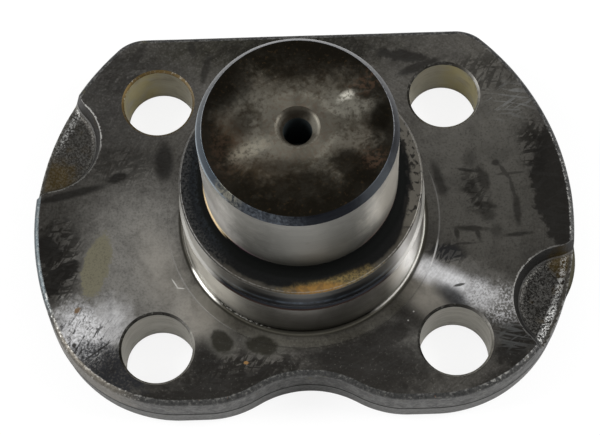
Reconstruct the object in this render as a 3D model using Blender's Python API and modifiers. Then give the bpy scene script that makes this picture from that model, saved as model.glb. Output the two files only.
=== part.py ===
"""King pin: a forged flange with a turned register boss and a ground pin, all in one piece.

Metres, +Z up. The origin is on the pin's axis, in the plane of the flange's back face. +Z points along
the pin to its free end, +Y to the straight rear edge of the flange and -Y to the notch between its lobes.
"""

import math

import bmesh
import bpy
from mathutils import Matrix, Vector

MM = 0.001

# Flange, seen along the pin: a disc with a straight rear edge, two front lobes and a notch between them
FLANGE_RADIUS = 66.0 * MM
FLANGE_THICKNESS = 15.0 * MM
REAR_REACH = 50.2 * MM  # pin axis to the rear edge
REAR_CORNER_RADIUS = 10.0 * MM
FRONT_REACH = 46.5 * MM  # pin axis to the lobes' front line
LOBE_RADIUS = 32.5 * MM
CREST_RADIUS = 25.0 * MM
NOTCH_RADIUS = 23.0 * MM
NOTCH_DEPTH = 6.6 * MM  # from the lobes' front line

# Forged edge of the flange: the two dies meet at the parting height and draw in from there
PARTING_HEIGHT = 7.0 * MM
DRAFT = math.radians(2.0)
DIE_STEP = 0.25 * MM  # the lower die is this much smaller
DIE_STEP_RISE = 0.2 * MM
BACK_EDGE_RADIUS = 1.2 * MM
FACE_EDGE_RADIUS = 1.2 * MM

# Ridge left on the parting line where the flash was trimmed
TRIM_ANGLE = math.radians(-11.2)
TRIM_STAND = 1.0 * MM  # how far the ridge stands out of the flange's round edge
TRIM_RADIUS = 20.0 * MM
TRIM_HEIGHT = 1.4 * MM

# Half-moon recesses in the flange's edge, one behind the left hole and one in front of the right hole
RECESS_ANGLES = [math.radians(160.5), math.radians(340.5)]
RECESS_OUTSET = 1.0 * MM  # from the flange's round edge out to the recess's centre
RECESS_RADIUS = 13.5 * MM
RECESS_DEPTH = 4.2 * MM
RECESS_SLOPE = math.radians(22.0)  # its wall, from upright
RECESS_FLOOR_RADIUS = 1.6 * MM
RECESS_MOUTH_RADIUS = 6.5 * MM
RECESS_MOUTH_RUNOUT = 0.8 * MM  # the mouth's rounding would end this far outside the flange

# Bolt holes, on a rectangle about the pin axis, for M16 bolts
BOLT_SPACING_X = 71.0 * MM
BOLT_SPACING_Y = 64.0 * MM
BOLT_HOLE_RADIUS = 8.5 * MM
BOLT_FACE_CHAMFER = 0.6 * MM
BOLT_BACK_CHAMFER = 0.8 * MM

# Turned stack on the flange's machined face
LAND_WIDTH = 3.0 * MM  # beyond the fillet at the boss's foot
LAND_RISE = 0.15 * MM
BOSS_RADIUS = 29.0 * MM
BOSS_BASE_FILLET = 1.0 * MM
BOSS_STEP_HEIGHT = 15.5 * MM  # face to the boss's step
NECK_STEP = 0.65 * MM  # how much smaller the boss's radius is above its step
SHOULDER_HEIGHT = 25.2 * MM  # face to the shoulder that the bearing seats on
SHOULDER_CHAMFER = 0.4 * MM
PIN_RADIUS = 22.5 * MM
PIN_FILLET = 2.5 * MM
PIN_TOP = 54.5 * MM  # face to the pin's end
PIN_CHAMFER_WIDTH = 1.35 * MM
PIN_CHAMFER_HEIGHT = 1.9 * MM
STACK_ROOT = 7.0 * MM  # how far the turned solid reaches into the flange before they are joined

# Countersunk centre hole in the pin's end
CENTRE_HOLE_RADIUS = 3.25 * MM
CENTRE_HOLE_DEPTH = 16.0 * MM
CENTRE_MOUTH_RADIUS = 4.6 * MM
CENTRE_MOUTH_SLOPE = math.radians(30.0)  # from the axis
DRILL_POINT_SLOPE = math.radians(59.0)  # from the axis

# Facets
OUTLINE_SAG = 0.02 * MM
TURNED_STEPS = 80
HOLE_STEPS = 48
FILLET_STEPS = 4
EDGE_STEPS = 3  # on the small radii of the flange and the boss
CUT_MARGIN = 2.0 * MM  # cutters run this far past the faces that they open
SEAM_MERGE = 0.01 * MM
SHARP_ANGLE = math.radians(25.0)

STEEL_COLOUR = (0.10, 0.095, 0.09, 1.0)
STEEL_ROUGHNESS = 0.38


def polar(radius, angle):
    return Vector((radius * math.cos(angle), radius * math.sin(angle)))


def heading(vector):
    return math.atan2(vector.y, vector.x)


def crossing(centre_a, radius_a, centre_b, radius_b):
    """Where two circles cross, on the left of the way from a to b."""
    way = centre_b - centre_a
    along = (way.length_squared + radius_a**2 - radius_b**2) / (2 * way.length)
    across = math.sqrt(radius_a**2 - along**2)
    unit = way.normalized()
    return centre_a + unit * along + Vector((-unit.y, unit.x)) * across


def arc(centre, radius, start, end, nominal):
    """Points of an arc, both ends included. Their count follows the nominal radius, so offsets keep it."""
    step = 2 * math.acos(1 - OUTLINE_SAG / nominal)
    count = max(2, math.ceil(abs(end - start) / step))
    return [centre + polar(radius, start + (end - start) * i / count) for i in range(count + 1)]


def flange_outline(inset):
    """The flange's outline, moved in by inset, from the notch round to the right and back.

    A lobe's arc is never larger than fits between the notch's crest and the round edge.
    """
    axis = Vector((0, 0))
    notch = Vector((0, NOTCH_DEPTH - FRONT_REACH - NOTCH_RADIUS))
    crest_drop = FRONT_REACH - CREST_RADIUS
    crest_side = math.sqrt((NOTCH_RADIUS + CREST_RADIUS) ** 2 - (crest_drop + notch.y) ** 2)
    crest = Vector((crest_side, -crest_drop))
    room = (FLANGE_RADIUS**2 - FRONT_REACH**2 - crest_side**2) / (2 * (FLANGE_RADIUS - FRONT_REACH))
    lobe_radius = min(LOBE_RADIUS, room)
    lobe_drop = FRONT_REACH - lobe_radius
    lobe = Vector((math.sqrt((FLANGE_RADIUS - lobe_radius) ** 2 - lobe_drop**2), -lobe_drop))
    corner_rise = REAR_REACH - REAR_CORNER_RADIUS
    corner_side = math.sqrt((FLANGE_RADIUS - REAR_CORNER_RADIUS) ** 2 - corner_rise**2)
    corner = Vector((corner_side, corner_rise))
    down = -math.pi / 2
    up = math.pi / 2
    half = arc(notch, NOTCH_RADIUS + inset, up, heading(crest - notch), NOTCH_RADIUS)
    half += arc(crest, CREST_RADIUS - inset, heading(notch - crest), down, CREST_RADIUS)[1:]
    half += arc(lobe, lobe_radius - inset, down, heading(lobe), lobe_radius)
    half += arc(axis, FLANGE_RADIUS - inset, heading(lobe), heading(corner), FLANGE_RADIUS)[1:]
    half += arc(corner, REAR_CORNER_RADIUS - inset, heading(corner), up, REAR_CORNER_RADIUS)[1:]
    mirrored = [Vector((-point.x, point.y)) for point in reversed(half[1:])]
    return half + mirrored


def recess_outline(inset):
    """A recess on the +X side, moved in by inset: an arc whose ends flare out to the flange's edge."""
    centre = Vector((FLANGE_RADIUS + RECESS_OUTSET, 0))
    reach = FLANGE_RADIUS + RECESS_MOUTH_RUNOUT - RECESS_MOUTH_RADIUS
    mouth = crossing(Vector((0, 0)), reach, centre, RECESS_RADIUS + RECESS_MOUTH_RADIUS)
    flare_radius = RECESS_MOUTH_RADIUS + inset
    inner_start = heading(mouth - centre)
    inner_end = 2 * math.pi - inner_start
    flare = arc(mouth, flare_radius, heading(mouth), heading(centre - mouth), RECESS_MOUTH_RADIUS)
    inner = arc(centre, RECESS_RADIUS - inset, inner_start, inner_end, RECESS_RADIUS)
    mirrored_flare = [Vector((point.x, -point.y)) for point in reversed(flare)]
    outside = FLANGE_RADIUS + RECESS_RADIUS
    closing = [Vector((outside, -flare[0].y)), Vector((outside, flare[0].y))]
    return flare + inner[1:] + mirrored_flare[1:] + closing


def quarter(count):
    """Sine and cosine of evenly spaced angles over a quarter turn, both ends included."""
    angles = [math.pi / 2 * i / count for i in range(count + 1)]
    return [(math.sin(angle), math.cos(angle)) for angle in angles]


def flange_levels():
    """(height, inset) of the forged edge, from the back face up to the machined face."""
    back_draw = DIE_STEP + (PARTING_HEIGHT - BACK_EDGE_RADIUS) * math.tan(DRAFT)
    back = [
        (BACK_EDGE_RADIUS * (1 - sine), back_draw + BACK_EDGE_RADIUS * (1 - cosine))
        for sine, cosine in reversed(quarter(EDGE_STEPS))
    ]
    parting = [(PARTING_HEIGHT, DIE_STEP), (PARTING_HEIGHT + DIE_STEP_RISE, 0)]
    shoulder = FLANGE_THICKNESS - FACE_EDGE_RADIUS
    face_draw = (shoulder - PARTING_HEIGHT) * math.tan(DRAFT)
    face = [
        (shoulder + FACE_EDGE_RADIUS * sine, face_draw + FACE_EDGE_RADIUS * (1 - cosine))
        for sine, cosine in quarter(EDGE_STEPS)
    ]
    return back + parting + face


def recess_levels():
    """(height, inset) of a recess's wall, from its floor up past the machined face."""
    slope = math.tan(RECESS_SLOPE)
    floor = FLANGE_THICKNESS - RECESS_DEPTH
    wall_height = RECESS_DEPTH - RECESS_FLOOR_RADIUS
    centre_inset = wall_height * slope + RECESS_FLOOR_RADIUS / math.cos(RECESS_SLOPE)
    turn = math.pi / 2 - RECESS_SLOPE
    angles = [turn * i / FILLET_STEPS for i in range(FILLET_STEPS + 1)]
    corner = [
        (
            floor + RECESS_FLOOR_RADIUS * (1 - math.cos(angle)),
            centre_inset - RECESS_FLOOR_RADIUS * math.sin(angle),
        )
        for angle in angles
    ]
    return corner + [(FLANGE_THICKNESS + CUT_MARGIN, -CUT_MARGIN * slope)]


def stack_profile():
    """(radius, height) of the turned stack, from the pin's end down its outer side.

    The fillet at the pin's foot takes at most half of the shoulder that it stands on.
    """
    face = FLANGE_THICKNESS
    end = face + PIN_TOP
    shoulder = face + SHOULDER_HEIGHT
    step = face + BOSS_STEP_HEIGHT
    neck_radius = BOSS_RADIUS - NECK_STEP
    land = face + LAND_RISE
    land_radius = BOSS_RADIUS + BOSS_BASE_FILLET + LAND_WIDTH
    fillet = min(PIN_FILLET, (neck_radius - SHOULDER_CHAMFER - PIN_RADIUS) / 2)
    pin_fillet = [
        (PIN_RADIUS + fillet * (1 - cosine), shoulder + fillet * (1 - sine))
        for sine, cosine in quarter(FILLET_STEPS)
    ]
    base_fillet = [
        (BOSS_RADIUS + BOSS_BASE_FILLET * (1 - cosine), land + BOSS_BASE_FILLET * (1 - sine))
        for sine, cosine in quarter(EDGE_STEPS)
    ]
    pin = [(0, end), (PIN_RADIUS - PIN_CHAMFER_WIDTH, end), (PIN_RADIUS, end - PIN_CHAMFER_HEIGHT)]
    rim = [(neck_radius - SHOULDER_CHAMFER, shoulder), (neck_radius, shoulder - SHOULDER_CHAMFER)]
    neck = [(neck_radius, step + NECK_STEP), (BOSS_RADIUS, step)]
    root = [(land_radius, land), (land_radius, face - STACK_ROOT), (0, face - STACK_ROOT)]
    return pin + pin_fillet + rim + neck + base_fillet + root


def bolt_hole_profile():
    """(radius, height) of a bolt hole with both its chamfers, from above the face to below the back."""
    face = FLANGE_THICKNESS
    face_mouth = BOLT_HOLE_RADIUS + BOLT_FACE_CHAMFER + CUT_MARGIN
    back_mouth = BOLT_HOLE_RADIUS + BOLT_BACK_CHAMFER + CUT_MARGIN
    above = [(0, face + CUT_MARGIN), (face_mouth, face + CUT_MARGIN)]
    bore = [(BOLT_HOLE_RADIUS, face - BOLT_FACE_CHAMFER), (BOLT_HOLE_RADIUS, BOLT_BACK_CHAMFER)]
    below = [(back_mouth, -CUT_MARGIN), (0, -CUT_MARGIN)]
    return above + bore + below


def centre_hole_profile():
    """(radius, height) of the countersunk blind hole, from above the pin's end down."""
    end = FLANGE_THICKNESS + PIN_TOP
    spread = math.tan(CENTRE_MOUTH_SLOPE)
    mouth_bottom = end - (CENTRE_MOUTH_RADIUS - CENTRE_HOLE_RADIUS) / spread
    point = CENTRE_HOLE_RADIUS / math.tan(DRILL_POINT_SLOPE)
    above = [(0, end + CUT_MARGIN), (CENTRE_MOUTH_RADIUS + CUT_MARGIN * spread, end + CUT_MARGIN)]
    bore = [(CENTRE_HOLE_RADIUS, mouth_bottom), (CENTRE_HOLE_RADIUS, end - CENTRE_HOLE_DEPTH)]
    return above + bore + [(0, end - CENTRE_HOLE_DEPTH - point)]


def clear_scene():
    for thing in list(bpy.data.objects):
        bpy.data.objects.remove(thing)


def collection(name):
    made = bpy.data.collections.new(name)
    bpy.context.scene.collection.children.link(made)
    return made


def helper(thing):
    """A solid that only cuts or joins: drawn as wire, and left out of renders."""
    thing.hide_render = True
    thing.display_type = "WIRE"
    return thing


def loft(name, sections, place):
    """A closed solid through rings of as many points each, listed from the bottom up."""
    solid = bmesh.new()
    rings = [[solid.verts.new(point) for point in section] for section in sections]
    count = len(rings[0])
    for lower, upper in zip(rings, rings[1:]):
        for i in range(count):
            after = (i + 1) % count
            solid.faces.new((lower[i], lower[after], upper[after], upper[i]))
    solid.faces.new(list(reversed(rings[0])))
    solid.faces.new(rings[-1])
    mesh = bpy.data.meshes.new(name)
    solid.to_mesh(mesh)
    solid.free()
    thing = bpy.data.objects.new(name, mesh)
    place.objects.link(thing)
    return thing


def raised(outline, levels):
    """The outline at each (height, inset) level."""
    return [[Vector((*point, height)) for point in outline(inset)] for height, inset in levels]


def turned(name, profile, steps, place):
    """A solid of revolution about the pin's axis, from a profile that starts and ends on that axis."""
    mesh = bpy.data.meshes.new(name)
    points = [(radius, 0, height) for radius, height in profile]
    mesh.from_pydata(points, [(i, i + 1) for i in range(len(points) - 1)], [])
    thing = bpy.data.objects.new(name, mesh)
    place.objects.link(thing)
    screw = thing.modifiers.new("Turn", "SCREW")
    screw.axis = "Z"
    screw.steps = steps
    screw.render_steps = steps
    screw.use_merge_vertices = True
    screw.merge_threshold = SEAM_MERGE
    screw.use_smooth_shade = True
    return thing


def combine(target, operation, tool):
    boolean = target.modifiers.new(f"{operation.title()} {tool.name}", "BOOLEAN")
    boolean.operation = operation
    boolean.object = tool
    boolean.solver = "EXACT"


def trim_ridge(place):
    """The disc whose rim stands out of the flange's edge on the parting line."""
    bpy.ops.mesh.primitive_cylinder_add(vertices=TURNED_STEPS, radius=TRIM_RADIUS, depth=TRIM_HEIGHT)
    disc = bpy.context.object
    disc.name = "trim_ridge"
    disc.users_collection[0].objects.unlink(disc)
    place.objects.link(disc)
    centre = polar(FLANGE_RADIUS + TRIM_STAND - TRIM_RADIUS, TRIM_ANGLE)
    disc.location = (*centre, PARTING_HEIGHT)
    return helper(disc)


def recess_cutters(place):
    cutters = []
    for number, angle in enumerate(RECESS_ANGLES, 1):
        cutter = loft(f"recess_cutter_{number}", raised(recess_outline, recess_levels()), place)
        cutter.matrix_world = Matrix.Rotation(angle, 4, "Z")
        cutters.append(helper(cutter))
    return cutters


def bolt_hole_cutters(place):
    cutters = []
    for side in (-1, 1):
        for end in (-1, 1):
            name = f"bolt_hole_cutter_{len(cutters) + 1}"
            cutter = turned(name, bolt_hole_profile(), HOLE_STEPS, place)
            cutter.location = (side * BOLT_SPACING_X / 2, end * BOLT_SPACING_Y / 2, 0)
            cutters.append(helper(cutter))
    return cutters


def steel():
    material = bpy.data.materials.new("Machined forged steel")
    material.use_nodes = True
    shader = material.node_tree.nodes["Principled BSDF"]
    shader.inputs["Base Color"].default_value = STEEL_COLOUR
    shader.inputs["Metallic"].default_value = 1.0
    shader.inputs["Roughness"].default_value = STEEL_ROUGHNESS
    return material


def solidified(thing):
    """The object with its modifiers made part of its mesh, smooth over its round faces."""
    graph = bpy.context.evaluated_depsgraph_get()
    mesh = bpy.data.meshes.new_from_object(thing.evaluated_get(graph))
    thing.modifiers.clear()
    thing.data = mesh
    mesh.shade_smooth()
    mesh.set_sharp_from_angle(angle=SHARP_ANGLE)
    return thing


def king_pin(parts, tools):
    """The flange with everything joined to it and cut from it."""
    pin = loft("king_pin", raised(flange_outline, flange_levels()), parts)
    combine(pin, "UNION", trim_ridge(tools))
    for cutter in recess_cutters(tools):
        combine(pin, "DIFFERENCE", cutter)
    stack = turned("turned_stack", stack_profile(), TURNED_STEPS, tools)
    combine(pin, "UNION", helper(stack))
    for cutter in bolt_hole_cutters(tools):
        combine(pin, "DIFFERENCE", cutter)
    centre_hole = turned("centre_hole_cutter", centre_hole_profile(), HOLE_STEPS, tools)
    combine(pin, "DIFFERENCE", helper(centre_hole))
    pin = solidified(pin)
    pin.data.materials.clear()
    pin.data.materials.append(steel())
    return pin


clear_scene()
king_pin(collection("King pin"), collection("Cutters and joined shapes"))
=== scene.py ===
"""The looks of the king pin: forged and machined steel in full detail, with floor, lamps and camera.

Metres, +Z up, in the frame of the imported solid: the origin is on the pin's axis in the plane of the flange's
back face, +Z runs to the pin's free end, +Y to the straight rear edge and -Y to the notch between the lobes.
"""

import math

import bmesh
import bpy
import numpy as np
from mathutils import Euler, Matrix, Vector, geometry, noise


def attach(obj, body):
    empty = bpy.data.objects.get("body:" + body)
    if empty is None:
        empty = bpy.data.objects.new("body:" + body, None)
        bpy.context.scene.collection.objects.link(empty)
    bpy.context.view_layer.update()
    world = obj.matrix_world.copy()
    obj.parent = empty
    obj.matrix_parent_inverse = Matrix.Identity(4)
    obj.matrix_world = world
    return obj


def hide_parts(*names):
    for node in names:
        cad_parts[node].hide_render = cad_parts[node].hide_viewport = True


MM = 0.001

# Flange, seen along the pin
FLANGE_RADIUS = 66.0 * MM
FLANGE_THICKNESS = 15.0 * MM
REAR_REACH = 50.2 * MM
REAR_CORNER_RADIUS = 10.0 * MM
FRONT_REACH = 46.5 * MM
LOBE_RADIUS = 32.5 * MM
CREST_RADIUS = 25.0 * MM
NOTCH_RADIUS = 23.0 * MM
NOTCH_DEPTH = 6.6 * MM

# Forged edge
PARTING_HEIGHT = 7.0 * MM
DRAFT = math.radians(2.0)
DIE_STEP = 0.25 * MM
EDGE_ROUNDING = 1.2 * MM
TRIM_ANGLE = math.radians(-11.2)
TRIM_STAND = 1.0 * MM
TRIM_RADIUS = 20.0 * MM
TRIM_HALF_HEIGHT = 0.7 * MM
FORGED_WAVE = 0.10 * MM  # the skin of the forging wanders in by up to this much
FORGED_WAVE_LENGTH = 9.0 * MM
FORGED_RIPPLE = 0.03 * MM
FORGED_RIPPLE_LENGTH = 1.6 * MM

# Half-moon recesses
RECESS_ANGLES = [math.radians(160.5), math.radians(340.5)]
RECESS_OUTSET = 1.0 * MM
RECESS_RADIUS = 13.5 * MM
RECESS_DEPTH = 4.2 * MM
RECESS_SLOPE = math.radians(22.0)
RECESS_FLOOR_ROUNDING = 1.6 * MM
RECESS_MOUTH_RADIUS = 6.5 * MM
RECESS_MOUTH_RUNOUT = 0.8 * MM
RECESS_FLOOR_ROUGHNESS = 0.10 * MM
RECESS_FLOOR_GRAIN = 2.2 * MM

# Bolt holes
BOLT_X = 35.5 * MM
BOLT_Y = 32.0 * MM
BOLT_HOLE_RADIUS = 8.5 * MM
BOLT_FACE_CHAMFER = 0.6 * MM
BOLT_BACK_CHAMFER = 0.8 * MM

# Turned stack, heights above the back face
LAND_RADIUS = 33.0 * MM
LAND_HEIGHT = 15.15 * MM
BOSS_RADIUS = 29.0 * MM
BOSS_FOOT_ROUNDING = 1.0 * MM
BOSS_STEP_HEIGHT = 30.5 * MM
NECK_RADIUS = 28.35 * MM
SHOULDER_HEIGHT = 40.2 * MM
SHOULDER_CHAMFER = 0.4 * MM
PIN_RADIUS = 22.5 * MM
PIN_FOOT_ROUNDING = 2.5 * MM
PIN_END_HEIGHT = 69.5 * MM
PIN_CHAMFER_WIDTH = 1.35 * MM
PIN_CHAMFER_HEIGHT = 1.9 * MM
STACK_ROOT = 8.0 * MM

# Centre hole
CENTRE_HOLE_RADIUS = 3.25 * MM
CENTRE_HOLE_DEPTH = 16.0 * MM
CENTRE_MOUTH_RADIUS = 4.6 * MM
CENTRE_MOUTH_SLOPE = math.radians(30.0)  # from the axis
CENTRE_LIP_DEPTH = 0.12 * MM
CENTRE_LIP_SLOPE = math.radians(78.0)
CENTRE_LIP_ROUNDING = 1.2 * MM
DRILL_POINT_SLOPE = math.radians(59.0)

# Fineness of the mesh
OUTLINE_SAG = 0.004 * MM
REAR_STEPS = 24
TURNED_STEPS = 256
HOLE_STEPS = 128
ROUNDING_STEPS = 6
CORNER_STEPS = 3
EDGE_BREAK = 0.15 * MM
FLOOR_GRID = 0.9 * MM
FACE_RINGS = [0.12 * MM, 0.3 * MM, 0.6 * MM, 1.0 * MM, 1.6 * MM, 2.6 * MM, 4.0 * MM]
CUT_MARGIN = 2.0 * MM
SHARP_ANGLE = math.radians(25.0)
LEVEL = 0.99999  # a face whose normal is nearer upright than this is shaded flat
SAME_PLACE = 1e-7
DOWN = -math.pi / 2
UP = math.pi / 2

# Camera, floor and lamps
CAMERA_PLACE = (0.007621, -0.185502, 0.485020)
CAMERA_TURN = (21.540, 1.487, -1.165)  # degrees
CAMERA_LENS = 124.83
CAMERA_SENSOR = 36
CAMERA_NEAR = 0.01
FLOOR_SIZE = 3.0
FLOOR_PARTS = 8
FLOOR_COLOUR = (0.9, 0.9, 0.9, 1)
FLOOR_GLOW = 0.86  # share of plain white in what the camera sees of it
WORLD_LIGHT = 0.6
LAMP_PLACE = (0.75, 0.02, 0.62)
LAMP_TARGET = (0, 0, 0.03)
LAMP_SIZE = 0.4
LAMP_POWER = 8

# Colours of more than one finish
BLACK_OIL = (0.014, 0.013, 0.012)
BROWN_OIL = (0.045, 0.036, 0.024)
WORN_BRIGHT = (0.62, 0.61, 0.58)
RUST = (0.20, 0.085, 0.028)


# Shapes


def polar(radius, angle):
    return Vector((radius * math.cos(angle), radius * math.sin(angle)))


def heading(vector):
    return math.atan2(vector.y, vector.x)


def arc(centre, radius, start, end, nominal):
    """Points of an arc, both ends included. Their count follows the nominal radius, so offsets keep it."""
    step = 2 * math.acos(1 - OUTLINE_SAG / nominal)
    count = max(2, math.ceil(abs(end - start) / step))
    return [centre + polar(radius, start + (end - start) * i / count) for i in range(count + 1)]


def flange_outline(inset):
    """The flange's outline, moved in by inset, from the notch round to the right and back."""
    notch = Vector((0, NOTCH_DEPTH - FRONT_REACH - NOTCH_RADIUS))
    crest_drop = FRONT_REACH - CREST_RADIUS
    crest_side = math.sqrt((NOTCH_RADIUS + CREST_RADIUS) ** 2 - (crest_drop + notch.y) ** 2)
    crest = Vector((crest_side, -crest_drop))
    lobe_drop = FRONT_REACH - LOBE_RADIUS
    lobe = Vector((math.sqrt((FLANGE_RADIUS - LOBE_RADIUS) ** 2 - lobe_drop**2), -lobe_drop))
    corner_rise = REAR_REACH - REAR_CORNER_RADIUS
    corner = Vector((math.sqrt((FLANGE_RADIUS - REAR_CORNER_RADIUS) ** 2 - corner_rise**2), corner_rise))
    half = arc(notch, NOTCH_RADIUS + inset, UP, heading(crest - notch), NOTCH_RADIUS)
    half += arc(crest, CREST_RADIUS - inset, heading(notch - crest), DOWN, CREST_RADIUS)[1:]
    half += arc(lobe, LOBE_RADIUS - inset, DOWN, heading(lobe), LOBE_RADIUS)
    half += arc(Vector((0, 0)), FLANGE_RADIUS - inset, heading(lobe), heading(corner), FLANGE_RADIUS)[1:]
    half += arc(corner, REAR_CORNER_RADIUS - inset, heading(corner), UP, REAR_CORNER_RADIUS)[1:]
    rear = REAR_REACH - inset
    half += [Vector((corner.x * (1 - i / REAR_STEPS), rear)) for i in range(1, REAR_STEPS + 1)]
    return half + [Vector((-point.x, point.y)) for point in reversed(half[1:-1])]


def recess_outline(inset):
    """A recess on the +X side, moved in by inset: an arc whose ends flare out to the flange's edge."""
    centre = Vector((FLANGE_RADIUS + RECESS_OUTSET, 0))
    reach = FLANGE_RADIUS + RECESS_MOUTH_RUNOUT - RECESS_MOUTH_RADIUS
    spread = RECESS_RADIUS + RECESS_MOUTH_RADIUS
    along = (centre.x**2 + reach**2 - spread**2) / (2 * centre.x)
    mouth = Vector((along, math.sqrt(reach**2 - along**2)))
    start = heading(mouth - centre)
    inwards = heading(centre - mouth)
    flare = arc(mouth, RECESS_MOUTH_RADIUS + inset, heading(mouth), inwards, RECESS_MOUTH_RADIUS)
    inner = arc(centre, RECESS_RADIUS - inset, start, 2 * math.pi - start, RECESS_RADIUS)
    mirrored = [Vector((point.x, -point.y)) for point in reversed(flare)]
    outside = FLANGE_RADIUS + RECESS_RADIUS
    closing = [Vector((outside, -flare[0].y)), Vector((outside, flare[0].y))]
    return flare + inner[1:] + mirrored[1:] + closing


def forged_wander(point):
    """How far the forged skin lies inside its nominal surface at a point."""
    slow = noise.noise(point / FORGED_WAVE_LENGTH)
    quick = noise.noise(point / FORGED_RIPPLE_LENGTH)
    return FORGED_WAVE * (0.5 + 0.5 * slow) + FORGED_RIPPLE * (0.5 + 0.5 * quick)


def trim_stand(point):
    """How far the trimmed ridge stands out of the flange's round edge at a point of the outline."""
    turn = heading(point) - TRIM_ANGLE
    centre = FLANGE_RADIUS + TRIM_STAND - TRIM_RADIUS
    across = centre * math.sin(turn)
    if abs(across) > TRIM_RADIUS or math.cos(turn) < 0:
        return 0
    return max(0, centre * math.cos(turn) + math.sqrt(TRIM_RADIUS**2 - across**2) - FLANGE_RADIUS)


def quarter(count):
    angles = [math.pi / 2 * i / count for i in range(count + 1)]
    return [(math.sin(angle), math.cos(angle)) for angle in angles]


def flange_levels():
    """(height, inset, share of the trimmed ridge, surface) up the forged edge and onto the machined face."""
    slope = math.tan(DRAFT)
    back_draw = DIE_STEP + (PARTING_HEIGHT - EDGE_ROUNDING) * slope
    levels = []
    for sine, cosine in reversed(quarter(ROUNDING_STEPS)):
        inset = back_draw + EDGE_ROUNDING * (1 - cosine)
        levels.append((EDGE_ROUNDING * (1 - sine), inset, 0, "edge"))
    below = PARTING_HEIGHT - TRIM_HALF_HEIGHT
    for share in (0.33, 0.66):
        height = EDGE_ROUNDING + (below - EDGE_ROUNDING) * share
        levels.append((height, DIE_STEP + (PARTING_HEIGHT - height) * slope, 0, "edge"))
    levels.append((below, DIE_STEP + TRIM_HALF_HEIGHT * slope, 0, "edge"))
    levels.append((PARTING_HEIGHT - 0.6 * TRIM_HALF_HEIGHT, DIE_STEP, 0.85, "edge"))
    levels.append((PARTING_HEIGHT, DIE_STEP, 1, "edge"))
    levels.append((PARTING_HEIGHT + 0.2 * MM, 0.03 * MM, 0.98, "edge"))
    levels.append((PARTING_HEIGHT + 0.6 * TRIM_HALF_HEIGHT, 0, 0.85, "edge"))
    levels.append((PARTING_HEIGHT + TRIM_HALF_HEIGHT, TRIM_HALF_HEIGHT * slope, 0, "edge"))
    shoulder = FLANGE_THICKNESS - EDGE_ROUNDING
    above = PARTING_HEIGHT + TRIM_HALF_HEIGHT
    for share in (0.33, 0.66):
        height = above + (shoulder - above) * share
        levels.append((height, (height - PARTING_HEIGHT) * slope, 0, "edge"))
    face_draw = (shoulder - PARTING_HEIGHT) * slope
    for sine, cosine in quarter(ROUNDING_STEPS):
        inset = face_draw + EDGE_ROUNDING * (1 - cosine)
        levels.append((shoulder + EDGE_ROUNDING * sine, inset, 0, "edge"))
    rim = levels[-1][1]
    return levels + [(FLANGE_THICKNESS, rim + more, 0, "face") for more in FACE_RINGS]


def recess_levels():
    """(height, inset) of a recess's wall, from its floor up past the machined face."""
    slope = math.tan(RECESS_SLOPE)
    floor = FLANGE_THICKNESS - RECESS_DEPTH
    wall = RECESS_DEPTH - RECESS_FLOOR_ROUNDING
    centre_inset = wall * slope + RECESS_FLOOR_ROUNDING / math.cos(RECESS_SLOPE)
    turn = math.pi / 2 - RECESS_SLOPE
    levels = []
    for i in range(ROUNDING_STEPS + 1):
        angle = turn * i / ROUNDING_STEPS
        height = floor + RECESS_FLOOR_ROUNDING * (1 - math.cos(angle))
        levels.append((height, centre_inset - RECESS_FLOOR_ROUNDING * math.sin(angle)))
    low_height, low_inset = levels[-1]
    for share in (0.33, 0.66, 1):
        height = low_height + (FLANGE_THICKNESS - low_height) * share
        levels.append((height, low_inset * (1 - share)))
    return levels + [(FLANGE_THICKNESS + CUT_MARGIN, -CUT_MARGIN * slope)]


def eased(corners):
    """(radius, height) points with every corner rounded, and the surface that each stretch up to a point has.

    corners is [(radius, height, rounding, surface from here to the next corner)].
    """
    points = [Vector(corners[0][:2])]
    surfaces = []
    for before, here, after in zip(corners, corners[1:], corners[2:]):
        corner = Vector(here[:2])
        back = (Vector(before[:2]) - corner).normalized()
        ahead = (Vector(after[:2]) - corner).normalized()
        half = back.angle(ahead) / 2
        centre = corner + (back + ahead).normalized() * (here[2] / math.sin(half))
        start = corner + back * (here[2] / math.tan(half))
        end = corner + ahead * (here[2] / math.tan(half))
        steps = CORNER_STEPS if here[2] < 0.5 * MM else 2 * ROUNDING_STEPS
        for i in range(steps + 1):
            way = start.lerp(end, i / steps) - centre
            points.append(centre + way.normalized() * here[2])
            surfaces.append(before[3] if i == 0 else here[4])
    points.append(Vector(corners[-1][:2]))
    surfaces.append(corners[-2][3])
    return points, surfaces


def added(name, data):
    """An object in the scene, made of a mesh, a lamp or a camera."""
    thing = bpy.data.objects.new(name, data)
    bpy.context.scene.collection.objects.link(thing)
    return thing


def new_piece(name, solid, finishes):
    """An object from a bmesh, with its finishes in the order of its faces' material numbers."""
    bmesh.ops.recalc_face_normals(solid, faces=solid.faces)
    mesh = bpy.data.meshes.new(name)
    solid.to_mesh(mesh)
    solid.free()
    for finish in finishes:
        mesh.materials.append(finish)
    return added(name, mesh)


def bridge(solid, rings, numbers):
    """Faces between neighbouring closed rings of as many points each."""
    count = len(rings[0])
    for lower, upper, number in zip(rings, rings[1:], numbers):
        for i in range(count):
            after = (i + 1) % count
            solid.faces.new((lower[i], lower[after], upper[after], upper[i])).material_index = number


def ways_in(outline):
    """The points of an outline, each with its way in for one unit of inset."""
    return [(point, (inner - point) / MM) for point, inner in zip(outline(0), outline(MM))]


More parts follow.
